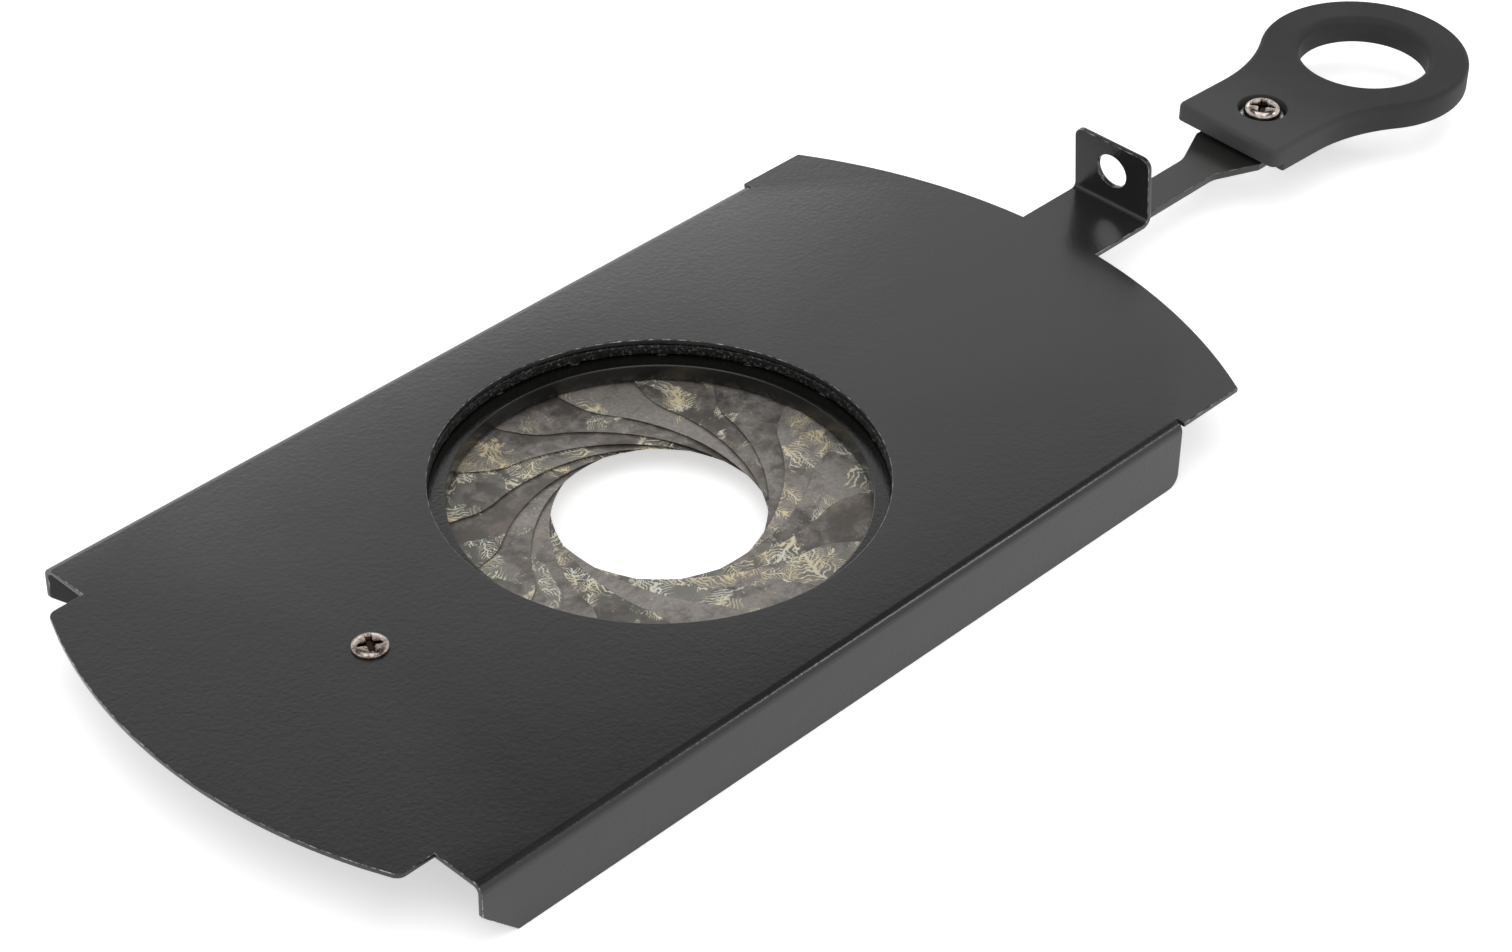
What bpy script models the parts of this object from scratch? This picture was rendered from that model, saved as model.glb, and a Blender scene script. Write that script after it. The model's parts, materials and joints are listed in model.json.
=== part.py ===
"""Drop-in iris diaphragm of a profile spotlight, as separate parts.

A folded steel carrier plate slides into the lamp's iris slot.  Under its round opening hangs the
iris cartridge: a cover ring, a lever ring with sixteen cam slots, sixteen twisted blades and a cup
housing whose floor carries the blade pivots.  A moulded finger ring is screwed to the lever's arm.
Turning the lever ring by hand turns each blade about its own pivot, and the aperture closes.

The model is drawn about the iris centre, with the plate's top face at height zero and the lever
towards +X.  An empty then sets it on the ground with the middle of its box over the origin.
"""

import math

import bmesh
import bpy
from mathutils import Matrix, Vector
from mathutils.geometry import delaunay_2d_cdt

MM = 0.001

# Clearances between neighbours
GAP = 0.3 * MM                    # running and seating gap between two pieces
HOLE_CLEARANCE = 0.3 * MM         # radial play of a fastener in its hole

# The opening, which sets the blades, the cartridge round them and the plate's width
OPENING_RADIUS = 40.0 * MM
BLADE_WIDTH = 12.0 * MM
RIM_PAST_PIVOTS = 6.4 * MM        # cartridge's outside beyond the circle of blade pivots
PIVOT_CIRCLE = OPENING_RADIUS + BLADE_WIDTH / 2
CARTRIDGE_RADIUS = PIVOT_CIRCLE + RIM_PAST_PIVOTS

# Carrier plate: one folded sheet
SHEET = 1.0 * MM
FLANGE_CLEARANCE = 0.75 * MM      # between the cartridge and each side flange
PLATE_WIDTH = 2 * (CARTRIDGE_RADIUS + FLANGE_CLEARANCE + SHEET)
FAR_ARC_RADIUS = 105.6 * MM       # far edge, concentric with the iris
NEAR_APEX = 106.6 * MM            # near edge's furthest point from the iris centre
NEAR_ARC_RADIUS = 106.6 * MM
NOTCH_DEPTH = 10.65 * MM          # how far the near end is narrower than the flanges, each side
NEAR_WIDTH = PLATE_WIDTH - 2 * NOTCH_DEPTH
NEAR_CORNER = 2.0 * MM
FLANGE_NEAR = 90.3 * MM           # where the side flanges start, before the iris centre
FLANGE_FAR = 75.5 * MM            # where they end, beyond it
FLANGE_DEPTH = 13.5 * MM
FLANGE_CHAMFER = 7.1 * MM
FLANGE_CORNER = 2.5 * MM
BEND_RADIUS = 2.0 * MM            # outer radius of every fold
TONGUE_WIDTH = 18.0 * MM
EAR_FACE = 120.2 * MM             # foot of the upturned ear's near face
EAR_HEIGHT = 14.0 * MM            # along the ear
EAR_TURN = 95.5                   # degrees that it is bent up
EAR_CORNER = 2.0 * MM
EAR_HOLE_RADIUS = 3.5 * MM
EAR_HOLE_HEIGHT = 7.7 * MM

# Fixings
SCREW_RADIUS = 1.5 * MM
HEAD_RADIUS = 3.2 * MM
PLATE_HEAD_HEIGHT = 0.9 * MM
HEAD_BAND = 0.5 * MM              # straight side of a head, below its crown
HEAD_SHOULDER = 1.1 * MM          # width of the crown's rounded shoulder
NUT_FLATS = 5.5 * MM
NUT_HEIGHT = 2.4 * MM
WASHER_RADIUS = 3.5 * MM
WASHER_THICKNESS = 0.5 * MM
SCREW_OVERRUN = 0.4 * MM          # thread that shows past a nut
LUG_RADIUS = 5.2 * MM             # rounded end of every fixing lug
LUG_CLEARANCE = 1.45 * MM         # between a side lug and its flange
NEAR_FIXING = CARTRIDGE_RADIUS + 13.1 * MM   # visible plate screw, on the centre line
SIDE_FIXING = CARTRIDGE_RADIUS + 8.935 * MM  # distance of the hidden ones from the iris centre
SIDE_FIXING_Y = PLATE_WIDTH / 2 - SHEET - LUG_CLEARANCE - LUG_RADIUS
SIDE_FIXING_X = math.sqrt(SIDE_FIXING ** 2 - SIDE_FIXING_Y ** 2)

# Cover ring, whose bore is the rough wall seen inside the opening
COVER_THICKNESS = 1.9 * MM

# Lever ring and its arm: one laser-cut sheet with a drawn lip
LEVER_SHEET = 1.5 * MM
LIP_INSET = 3.1 * MM              # lip inside the plate's opening
LEVER_BORE = OPENING_RADIUS - LIP_INSET
LIP_WALL = 1.2 * MM
LIP_DEPTH = 3.25 * MM
ARM_WIDTH = 7.7 * MM
ARM_FOOT_WIDTH = 15.8 * MM        # where the handle sits
FLARE_START = 147.0 * MM
FLARE_END = 156.3 * MM
ARM_END = 181.0 * MM
ARM_CORNER = 2.0 * MM
FLARE_ROUND = 6.0 * MM
FOOT_ROUND = 1.0 * MM

# Blades
BLADE_COUNT = 16
BLADE_THICKNESS = 0.15 * MM
BLADE_INNER = OPENING_RADIUS      # radius of the edge that bounds the aperture
PIN_RADIUS = 1.0 * MM
PIVOT_TAB = 3.6 * MM              # radius of the round end about the pivot
TAB_BLEND = 5.0                   # degrees of that round left out where it meets each edge
TAB_OUTER = 13.0                  # degrees along the outer edge where the round takes over
TAB_INNER = 10.0                  # and along the inner edge
TIP_ROUND = 3.0 * MM              # corners of the blunt drive end
TIP_INNER_ROUND = 4.5 * MM        # its corner towards the aperture
TIP_BLEND = 8.0                   # degrees taken up by that corner
TIP_SLOPE = 12.0                  # degrees before the drive pin where the end starts to widen
TIP_SHOULDER = 4.0                # and where it has its full width
REST_DEGREES = 26.82              # closing angle as photographed, for an aperture 37.3 mm wide
DRIVE_INSET = 4.6 * MM            # drive pin inside the circle of pivots, at rest
DRIVE_EAR = 3.2 * MM              # metal outside the drive pin
BLADE_END_PAST_PIN = 4.2          # degrees of blade beyond the drive pin
STACK_PITCH = 0.0175 * MM         # climb of a blade per degree about its twist centre
TWIST_ANGLE = 41.4                # closing angle whose iris centre is the twist centre
DRIVE_PIN_DROP = 7.2 * MM         # height of the blade at its drive pin, below the plate's top

# Motion
LEVER_SWING = 31.0                # degrees each way
BLADE_RATIO = 0.62                # blade turn for each turn of the lever
SLOT_CLEARANCE = 0.3 * MM
SLOT_OVERRUN = 1.0                # degrees of lever turn that each slot has spare

# Cup housing
FLOOR_THICKNESS = 1.3 * MM
PIN_RECESS = 0.15 * MM            # pivot pins end this far inside the floor's underside
FLOOR_INSET = 2.0 * MM            # floor inside the plate's opening
FLOOR_BORE = OPENING_RADIUS - FLOOR_INSET
CUP_WALL = 1.4 * MM
LUG_DEPTH = 5.5 * MM

# Handle
HANDLE_TOP = 1.5 * MM
HANDLE_FRONT = 155.5 * MM
HANDLE_HALF_WIDTH = 12.7 * MM
HANDLE_LEAN = -2.2                # degrees, turned about its screw
HANDLE_SKIRT = 0.75 * MM          # its rim and ring below the seat on the arm
HANDLE_CORNER = 1.6 * MM
NECK_RADIUS = 34.0 * MM
FINGER_CENTRE = 198.1 * MM
FINGER_OUTER = 21.0 * MM
FINGER_HOLE = 13.0 * MM
EDGE_ROUND = 1.0 * MM
UNDER_ROUND = 0.4 * MM
HANDLE_SCREW_X = 166.5 * MM
HANDLE_SCREW_RADIUS = 1.85 * MM
HANDLE_HEAD_RADIUS = 3.7 * MM
HANDLE_HEAD_HEIGHT = 2.1 * MM
HANDLE_WASHER_RADIUS = 4.4 * MM
HANDLE_NUT_FLATS = 7.0 * MM
HANDLE_NUT_HEIGHT = 3.0 * MM
COUNTERBORE_CLEARANCE = 0.5 * MM  # round the washer
COUNTERBORE_RADIUS = HANDLE_WASHER_RADIUS + COUNTERBORE_CLEARANCE
COUNTERBORE_DEPTH = 2.5 * MM
POCKET_DEPTH = 1.1 * MM
POCKET_WALL = 2.0 * MM
POCKET_CORNER = 2.0 * MM
SEAT_MARGIN = 1.0 * MM            # arm's edge beyond the handle's seat, and the pocket beyond it
SEAT_SETBACK = 4.0 * MM           # seat behind the handle's open front
CUTTER_REACH = 1.0 * MM           # a cutter goes past the face that it opens

# Faceting
RING_STEPS = 72
EYE_STEPS = 36                    # finger ring
MOUTH_STEPS = 24                  # counterbore, ear hole, screw heads and washers
HOLE_STEPS = 12
PIN_STEPS = 10
BOW_STEPS = 14                    # near edge of the plate
FAR_STEPS = 8                     # each half of its far edge
BEND_STEPS = 4
FILLET_STEPS = 4
LUG_STEPS = 8
LUG_ROOT_STEPS = 4
SLOT_STEPS = 8
NECK_STEPS = 7
EDGE_STEPS = 2                    # round along the handle's top edge
HEAD_STEPS = 3                    # shoulder of a screw head
BLADE_OUTER_STEPS = 12
BLADE_INNER_STEPS = 16
BLADE_TAB_STEPS = 6
SPINE_STEPS = 9                   # points inside the blade's faces, along it
SPINE_SHARES = (0.3, 0.65)        # and across it
SHARP_ANGLE = 32.0                # degrees
MITRE_LIMIT = 0.5
FLAT_TOLERANCE = 1e-6             # millimetres
WELD_DISTANCE = 0.001 * MM

# Heights, from the plate's top face down
COVER_TOP = -SHEET - GAP
COVER_BOTTOM = COVER_TOP - COVER_THICKNESS
LEVER_TOP = COVER_BOTTOM - GAP
LEVER_BOTTOM = LEVER_TOP - LEVER_SHEET
CUP_RIM = LEVER_BOTTOM - GAP
HANDLE_SEAT = LEVER_TOP + GAP            # the handle stands this high on the arm
HANDLE_FOOT = HANDLE_SEAT - HANDLE_SKIRT
LUG_TOP = LEVER_TOP
LUG_BOTTOM = LUG_TOP - LUG_DEPTH
LEVER_RADIUS = CARTRIDGE_RADIUS - GAP    # guided by the pads on the housing's lugs

# Blade geometry that follows from the sizes above, in the blade's own frame: pivot at the
# origin, centre of the fully open aperture towards -X
BLADE_OUTER = BLADE_INNER + BLADE_WIDTH
REST_TURN = math.radians(REST_DEGREES)
DRIVE_REACH = 2 * PIVOT_CIRCLE - DRIVE_INSET
DRIVE_PIN = Vector((-DRIVE_REACH * math.cos(REST_TURN), DRIVE_REACH * math.sin(REST_TURN)))
ARC_CENTRE = Vector((-PIVOT_CIRCLE, 0.0))
TWIST_CENTRE = Vector((-PIVOT_CIRCLE * math.cos(math.radians(TWIST_ANGLE)),
                       PIVOT_CIRCLE * math.sin(math.radians(TWIST_ANGLE))))


def polar(radius, degrees, centre=(0.0, 0.0)):
    """Point at a radius and an angle about a centre."""
    angle = math.radians(degrees)
    return Vector((centre[0] + radius * math.cos(angle), centre[1] + radius * math.sin(angle)))


def arc(radius, start, end, steps, centre=(0.0, 0.0)):
    """Points along an arc, both ends included."""
    return [polar(radius, start + (end - start) * i / steps, centre) for i in range(steps + 1)]


def circle(radius, steps, centre=(0.0, 0.0)):
    """Points round a full circle."""
    return arc(radius, 0.0, 360.0, steps, centre)[:-1]


def fillet(before, corner, after, radius):
    """Points of the round that replaces one corner of an outline."""
    to_before = (before - corner).normalized()
    to_after = (after - corner).normalized()
    half = to_before.angle(to_after) / 2
    start = corner + to_before * radius / math.tan(half)
    end = corner + to_after * radius / math.tan(half)
    centre = corner + (to_before + to_after).normalized() * radius / math.sin(half)
    points = []
    for i in range(FILLET_STEPS + 1):
        spoke = (start - centre).slerp(end - centre, i / FILLET_STEPS)
        points.append(centre + spoke * radius)
    return points


def rounded(corners):
    """Outline from (point, radius) pairs, each corner with a radius filleted."""
    points = []
    for i, (corner, radius) in enumerate(corners):
        if radius:
            points += fillet(corners[i - 1][0], corner, corners[(i + 1) % len(corners)][0], radius)
        else:
            points.append(corner)
    return points


def offset_outline(points, distance):
    """Outline moved inwards along its corner bisectors; it runs anticlockwise."""
    moved = []
    for i, point in enumerate(points):
        before = (point - points[i - 1]).normalized()
        after = (points[(i + 1) % len(points)] - point).normalized()
        normal = Vector((-before.y - after.y, before.x + after.x)).normalized()
        stretch = max(normal.dot(Vector((-after.y, after.x))), MITRE_LIMIT)
        moved.append(point + normal * distance / stretch)
    return moved


def turned(point, degrees):
    """Point turned about the origin."""
    angle = math.radians(degrees)
    return Vector((point[0] * math.cos(angle) - point[1] * math.sin(angle),
                   point[0] * math.sin(angle) + point[1] * math.cos(angle)))


def inside(point, outline):
    """Whether a point lies inside a closed outline."""
    hit = False
    for i, here in enumerate(outline):
        last = outline[i - 1]
        if (here.y > point.y) != (last.y > point.y):
            cross = here.x + (point.y - here.y) * (last.x - here.x) / (last.y - here.y)
            if point.x < cross:
                hit = not hit
    return hit


def add_loop(bm, points, height):
    """Vertices over an outline, at one height or at a height that varies from point to point."""
    if callable(height):
        return [bm.verts.new((p[0], p[1], height(p))) for p in points]
    return [bm.verts.new((p[0], p[1], height)) for p in points]


def fill(bm, loops, scattered=()):
    """Faces inside the first loop of vertices and outside the others, through scattered ones."""
    verts = [v for loop in loops for v in loop] + list(scattered)
    flat = [Vector((v.co.x / MM, v.co.y / MM)) for v in verts]
    edges = []
    outlines = []
    start = 0
    for loop in loops:
        edges += [(start + i, start + (i + 1) % len(loop)) for i in range(len(loop))]
        outlines.append(flat[start:start + len(loop)])
        start += len(loop)
    placed, _, triangles, origins, _, _ = delaunay_2d_cdt(flat, edges, [], 0, FLAT_TOLERANCE)
    for triangle in triangles:
        middle = sum((placed[i] for i in triangle), Vector((0.0, 0.0))) / 3
        if inside(middle, outlines[0]) and not any(inside(middle, o) for o in outlines[1:]):
            bm.faces.new([verts[origins[i][0]] for i in triangle])


def wall(bm, lower, upper):
    """Quads between two loops with the same number of vertices."""
    for i in range(len(lower)):
        j = (i + 1) % len(lower)
        bm.faces.new((lower[i], lower[j], upper[j], upper[i]))


def prism_into(bm, outline, holes, bottom, top):
    """Straight prism with through holes."""
    lower = [add_loop(bm, points, bottom) for points in [outline, *holes]]
    upper = [add_loop(bm, points, top) for points in [outline, *holes]]
    fill(bm, lower)
    fill(bm, upper)
    for below, above in zip(lower, upper):
        wall(bm, below, above)


def lathe_into(bm, profile, steps, centre=(0.0, 0.0)):
    """Closed profile of (radius, height) pairs turned about a vertical axis.

    A profile that starts and ends on the axis closes there, any other one makes a ring.
    """
    loops = []
    for radius, height in profile:
        if radius == 0:
            loops.append([bm.verts.new((centre[0], centre[1], height))])
        else:
            loops.append(add_loop(bm, circle(radius, steps, centre), height))
    pairs = list(zip(loops, loops[1:]))
    if profile[0][0] != 0:
        pairs.append((loops[-1], loops[0]))
    for first, second in pairs:
        if len(first) == 1 and len(second) == 1:
            continue
        for i in range(steps):
            j = (i + 1) % steps
            if len(first) == 1:
                bm.faces.new((first[0], second[j], second[i]))
            elif len(second) == 1:
                bm.faces.new((first[i], first[j], second[0]))
            else:
                bm.faces.new((first[i], first[j], second[j], second[i]))


def material(name, colour, roughness, metallic=0.0):
    """Principled material with a plain colour."""
    made = bpy.data.materials.new(name)
    made.use_nodes = True
    shader = made.node_tree.nodes["Principled BSDF"]
    shader.inputs["Base Color"].default_value = (*colour, 1.0)
    shader.inputs["Roughness"].default_value = roughness
    shader.inputs["Metallic"].default_value = metallic
    return made


def mesh_from(bm, name, closed=True):
    """Mesh of a bmesh, its faces turned outwards and its curved sides shaded smooth."""
    if closed:
        bmesh.ops.recalc_face_normals(bm, faces=bm.faces)
    mesh = bpy.data.meshes.new(name)
    bm.to_mesh(mesh)
    bm.free()
    mesh.shade_smooth()
    mesh.set_sharp_from_angle(angle=math.radians(SHARP_ANGLE))
    return mesh


def place(name, mesh, look, parent, location=(0.0, 0.0), turn=0.0):
    """Object of a mesh under a parent empty, turned in degrees about its own origin."""
    made = bpy.data.objects.new(name, mesh)
    bpy.context.scene.collection.objects.link(made)
    made.parent = parent
    made.location = (location[0], location[1], 0.0)
    made.rotation_euler = (0.0, 0.0, math.radians(turn))
    if look and not mesh.materials:
        mesh.materials.append(look)
    return made


def helper(name, bm, parent):
    """Hidden solid that another part is joined with or cut by."""
    made = place(name, mesh_from(bm, name), None, parent)
    made.hide_render = True
    made.hide_set(True)
    made.display_type = 'WIRE'
    return made


def boolean(target, operand, operation):
    """Boolean modifier that joins or cuts a part with a helper."""
    modifier = target.modifiers.new(operand.name, 'BOOLEAN')
    modifier.operation = operation
    modifier.object = operand
    modifier.solver = 'EXACT'


def empty(name, location, parent=None):
    """Empty that carries parts."""
    made = bpy.data.objects.new(name, None)
    bpy.context.scene.collection.objects.link(made)
    made.location = location
    made.parent = parent
    return made


def blade_angles():
    """Angles in degrees of the blade pivots round the iris."""
    return [360 / BLADE_COUNT * i for i in range(BLADE_COUNT)]


def fixing_points():
    """Centres of the three fixings that hold the cartridge under the plate."""
    return [Vector((-NEAR_FIXING, 0.0)),
            Vector((SIDE_FIXING_X, -SIDE_FIXING_Y)),
            Vector((SIDE_FIXING_X, SIDE_FIXING_Y))]


def lug_spans(radius):
    """Start and end angle of each lug on a circle, and its centre, anticlockwise from +X."""
    side = math.degrees(math.asin(LUG_RADIUS / radius))
    spans = []
    for point in fixing_points():
        middle = math.degrees(math.atan2(point.y, point.x)) % 360
        spans.append((middle - side, middle + side, point))
    return sorted(spans, key=lambda span: span[0])


def between_lugs(radius):
    """Arcs of a circle that lead from one lug to the next; each ends where its lug starts."""
    spans = lug_spans(radius)
    arcs = []
    for i, (start, _, _) in enumerate(spans):
        last = spans[i - 1][1] - (360 if i == 0 else 0)
        arcs.append(arc(radius, last, start, round((start - last) / 360 * RING_STEPS)))
    return arcs


def lug_tips(radius):
    """Rounded outer end of each lug, in the order of the arcs between them."""
    tips = []
    for start, end, point in lug_spans(radius):
        middle = (start + end) / 2
        tips.append(arc(LUG_RADIUS, middle - 90, middle + 90, LUG_STEPS, point))
    return tips


def lugged_outline(radius):
    """Circle with the three fixing lugs growing out of it, anticlockwise."""
    points = []
    for rim, tip in zip(between_lugs(radius), lug_tips(radius)):
        points += rim + tip
    return points


def panel_outline():
    """Flat top of the plate up to its folds, anticlockwise from the near right corner."""
    half = PLATE_WIDTH / 2
    fold = half - BEND_RADIUS
    near = NEAR_WIDTH / 2
    near_centre = (NEAR_ARC_RADIUS - NEAR_APEX, 0.0)
    near_angle = math.degrees(math.asin(near / NEAR_ARC_RADIUS))
    near_corner = near_centre[0] - NEAR_ARC_RADIUS * math.cos(math.radians(near_angle))
    tongue = TONGUE_WIDTH / 2
    far_side = math.degrees(math.asin(half / FAR_ARC_RADIUS))
    far_tongue = math.degrees(math.asin(tongue / FAR_ARC_RADIUS))
    tongue_end = EAR_FACE - (BEND_RADIUS - SHEET)
    right = [Vector((-FLANGE_NEAR, -near)), Vector((-FLANGE_NEAR, -fold)),
             Vector((FLANGE_FAR, -fold)), Vector((FLANGE_FAR, -half))]
    right += arc(FAR_ARC_RADIUS, -far_side, -far_tongue, FAR_STEPS)
    right.append(Vector((tongue_end, -tongue)))
    left = [Vector((p.x, -p.y)) for p in reversed(right)]
    corner_left = Vector((near_corner, near))
    corner_right = Vector((near_corner, -near))
    bow = arc(NEAR_ARC_RADIUS, 180 - near_angle, 180 + near_angle, BOW_STEPS, near_centre)
    round_left = fillet(left[-1], corner_left, bow[1], NEAR_CORNER)
    round_right = fillet(bow[-2], corner_right, right[0], NEAR_CORNER)
    return right + left + round_left + bow[1:-1] + round_right


def flange_outline():
    """Side flange below its fold as (x, height), from the far top corner round to the near one."""
    top = -BEND_RADIUS
    corners = [(Vector((FLANGE_FAR, top)), 0),
               (Vector((-FLANGE_NEAR, top)), 0),
               (Vector((-FLANGE_NEAR, -FLANGE_DEPTH + FLANGE_CHAMFER)), 0),
               (Vector((-FLANGE_NEAR + FLANGE_CHAMFER, -FLANGE_DEPTH)), 0),
               (Vector((FLANGE_FAR, -FLANGE_DEPTH)), FLANGE_CORNER)]
    return rounded(corners)


def nearest(verts, x, y):
    """Vertex that lies at a given plan position."""
    return min(verts, key=lambda v: (v.co.x - x) ** 2 + (v.co.y - y) ** 2)


def add_flange(bm, rim, side):
    """Fold and flange along one side of the panel; side is -1 or 1."""
    fold = PLATE_WIDTH / 2 - BEND_RADIUS
    ends = [nearest(rim, -FLANGE_NEAR, side * fold), nearest(rim, FLANGE_FAR, side * fold)]
    for step in range(1, BEND_STEPS + 1):
        angle = math.radians(90 - 90 * step / BEND_STEPS)
        y = side * (fold + BEND_RADIUS * math.cos(angle))
        z = BEND_RADIUS * (math.sin(angle) - 1)
        row = [bm.verts.new((-FLANGE_NEAR, y, z)), bm.verts.new((FLANGE_FAR, y, z))]
        bm.faces.new((ends[0], row[0], row[1], ends[1]))
        ends = row
    outline = flange_outline()
    loop = [ends[1], ends[0]]
    loop += [bm.verts.new((p.x, side * PLATE_WIDTH / 2, p.y)) for p in outline[2:]]
    bm.faces.new(loop)


def add_ear(bm, rim):
    """Ear turned up at the end of the tongue, with its round hole."""
    half = TONGUE_WIDTH / 2
    inner = BEND_RADIUS - SHEET
    start = EAR_FACE - inner
    ends = [nearest(rim, start, -half), nearest(rim, start, half)]
    for step in range(1, BEND_STEPS + 1):
        angle = math.radians(EAR_TURN * step / BEND_STEPS)
        x = start + inner * math.sin(angle)
        z = inner * (1 - math.cos(angle))
        row = [bm.verts.new((x, -half, z)), bm.verts.new((x, half, z))]
        bm.faces.new((ends[0], ends[1], row[1], row[0]))
        ends = row
    flat = bmesh.new()
    outline = rounded([(Vector((-half, inner)), 0), (Vector((half, inner)), 0),
                       (Vector((half, EAR_HEIGHT)), EAR_CORNER),
                       (Vector((-half, EAR_HEIGHT)), EAR_CORNER)])
    hole = circle(EAR_HOLE_RADIUS, MOUTH_STEPS, (0.0, EAR_HOLE_HEIGHT))
    fill(flat, [add_loop(flat, outline, 0.0), add_loop(flat, hole, 0.0)])
    raised = {}
    for vert in flat.verts:
        beyond = vert.co.y - inner
        raised[vert] = bm.verts.new((x + beyond * math.cos(angle), vert.co.x,
                                     z + beyond * math.sin(angle)))
    for face in flat.faces:
        bm.faces.new([raised[v] for v in face.verts])
    flat.free()


def carrier_plate(look, parent):
    """Folded sheet: panel, two side flanges, tongue and ear, with two weld studs underneath."""
    bm = bmesh.new()
    rim = add_loop(bm, panel_outline(), 0.0)
    opening = add_loop(bm, circle(OPENING_RADIUS, RING_STEPS), 0.0)
    screw_hole = add_loop(bm, fixing_holes(fixing_points()[:1])[0], 0.0)
    fill(bm, [rim, opening, screw_hole])
    add_flange(bm, rim, -1)
    add_flange(bm, rim, 1)
    add_ear(bm, rim)
    bmesh.ops.remove_doubles(bm, verts=bm.verts, dist=WELD_DISTANCE)
    bmesh.ops.recalc_face_normals(bm, faces=bm.faces)
    largest = max(bm.faces, key=lambda face: face.calc_area() * abs(face.normal.z))
    if largest.normal.z < 0:
        bmesh.ops.reverse_faces(bm, faces=bm.faces)
    plate = place("carrier_plate", mesh_from(bm, "carrier_plate", closed=False), look, parent)
    fold = plate.modifiers.new("sheet", 'SOLIDIFY')
    fold.thickness = SHEET
    fold.offset = -1.0
    fold.use_even_offset = True
    studs = bmesh.new()
    for point in fixing_points()[1:]:
        profile = [(0, -SHEET / 2), (SCREW_RADIUS, -SHEET / 2), (SCREW_RADIUS, screw_end()),
                   (0, screw_end())]
        lathe_into(studs, profile, HOLE_STEPS, point)
    boolean(plate, helper("weld_studs", studs, parent), 'UNION')
    return plate


def washer_top():
    """Top of the washers under the housing's lugs."""
    return LUG_BOTTOM - GAP


def nut_top():
    """Top of the nuts under those washers."""
    return washer_top() - WASHER_THICKNESS - GAP


def screw_end():
    """Lowest point of the plate screw and the weld studs."""
    return nut_top() - NUT_HEIGHT - SCREW_OVERRUN


def fixing_holes(points, shank=SCREW_RADIUS):
    """Clearance holes for the fixings at the given centres."""
    return [circle(shank + HOLE_CLEARANCE, HOLE_STEPS, p) for p in points]


def cover_ring(look, parent):
    """Flat ring between the plate and the lever ring; its bore lines up with the opening."""
    bm = bmesh.new()
    holes = [circle(OPENING_RADIUS, RING_STEPS), *fixing_holes(fixing_points())]
    prism_into(bm, lugged_outline(CARTRIDGE_RADIUS), holes, COVER_BOTTOM, COVER_TOP)
    return place("cover_ring", mesh_from(bm, "cover_ring"), look, parent)


def drive_pin_in_ring(swing):
    """Where a drive pin stands in the lever ring's frame, for a lever angle in degrees."""
    turn = math.degrees(REST_TURN) + BLADE_RATIO * swing
    return turned(Vector((PIVOT_CIRCLE, 0.0)) + turned(DRIVE_PIN, turn), -swing)


def slot_outline():
    """Cam slot: the drive pin's path in the ring, widened by the pin and its clearance."""
    reach = LEVER_SWING + SLOT_OVERRUN
    swings = [-reach + 2 * reach * i / SLOT_STEPS for i in range(SLOT_STEPS + 1)]
    path = [drive_pin_in_ring(swing) for swing in swings]
    width = PIN_RADIUS + SLOT_CLEARANCE
    left, right = [], []
    for i, point in enumerate(path):
        along = (path[min(i + 1, SLOT_STEPS)] - path[max(i - 1, 0)]).normalized()
        across = width * Vector((-along.y, along.x))
        left.append(point + across)
        right.append(point - across)
    ends = []
    for tip, last in ((path[-1], right[-1]), (path[0], left[0])):
        start = math.degrees(math.atan2(last.y - tip.y, last.x - tip.x))
        ends.append(arc(width, start, start + 180, FILLET_STEPS, tip)[1:-1])
    return right + ends[0] + left[::-1] + ends[1]


def lever_outline():
    """Lever ring's rim and arm, anticlockwise from the arm's right root."""
    arm = ARM_WIDTH / 2
    foot = ARM_FOOT_WIDTH / 2
    root = math.degrees(math.asin(arm / LEVER_RADIUS))
    corners = [(Vector((FLARE_START, -arm)), FLARE_ROUND),
               (Vector((FLARE_END, -foot)), FOOT_ROUND),
               (Vector((ARM_END, -foot)), ARM_CORNER),
               (Vector((ARM_END, foot)), ARM_CORNER),
               (Vector((FLARE_END, foot)), FOOT_ROUND),
               (Vector((FLARE_START, arm)), FLARE_ROUND)]
    rim = arc(LEVER_RADIUS, root, 360 - root, RING_STEPS)
    path = [(rim[-1], 0), *corners, (rim[0], 0)]
    return rounded(path)[1:-1] + rim


def lever_ring(look, parent):
    """Ring with sixteen cam slots, a drawn lip round its bore and the lever arm."""
    bm = bmesh.new()
    rim = lever_outline()
    slots = [[turned(p, angle) for p in slot_outline()] for angle in blade_angles()]
    screw = fixing_holes([Vector((HANDLE_SCREW_X, 0.0))], HANDLE_SCREW_RADIUS)
    bore = circle(LEVER_BORE, RING_STEPS)
    lip = circle(LEVER_BORE + LIP_WALL, RING_STEPS)
    upper = [add_loop(bm, points, LEVER_TOP) for points in [rim, bore, *screw, *slots]]
    lower = [add_loop(bm, points, LEVER_BOTTOM) for points in [rim, lip, *screw, *slots]]
    fill(bm, upper)
    fill(bm, lower)
    for i, (below, above) in enumerate(zip(lower, upper)):
        if i != 1:
            wall(bm, below, above)
    lip_inside = add_loop(bm, bore, LEVER_TOP - LIP_DEPTH)
    lip_outside = add_loop(bm, lip, LEVER_TOP - LIP_DEPTH)
    wall(bm, lip_inside, upper[1])
    wall(bm, lip_outside, lip_inside)
    wall(bm, lip_outside, lower[1])
    return place("lever_ring", mesh_from(bm, "lever_ring"), look, parent)


def twist(point):
    """Degrees about the blade's twist centre, rising from the pivot end to the drive end."""
    angle = math.degrees(math.atan2(point[1] - TWIST_CENTRE.y, point[0] - TWIST_CENTRE.x))
    return angle + 360 if angle < -140 else angle


def blade_height(point):
    """Height of the blade's middle surface, which climbs like a spiral stair.

    Because every blade climbs alike, the sixteen lie over one another in a ring without
    meeting, whatever the angle they have turned to.
    """
    return -DRIVE_PIN_DROP + STACK_PITCH * (twist(point) - twist(DRIVE_PIN))


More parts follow.
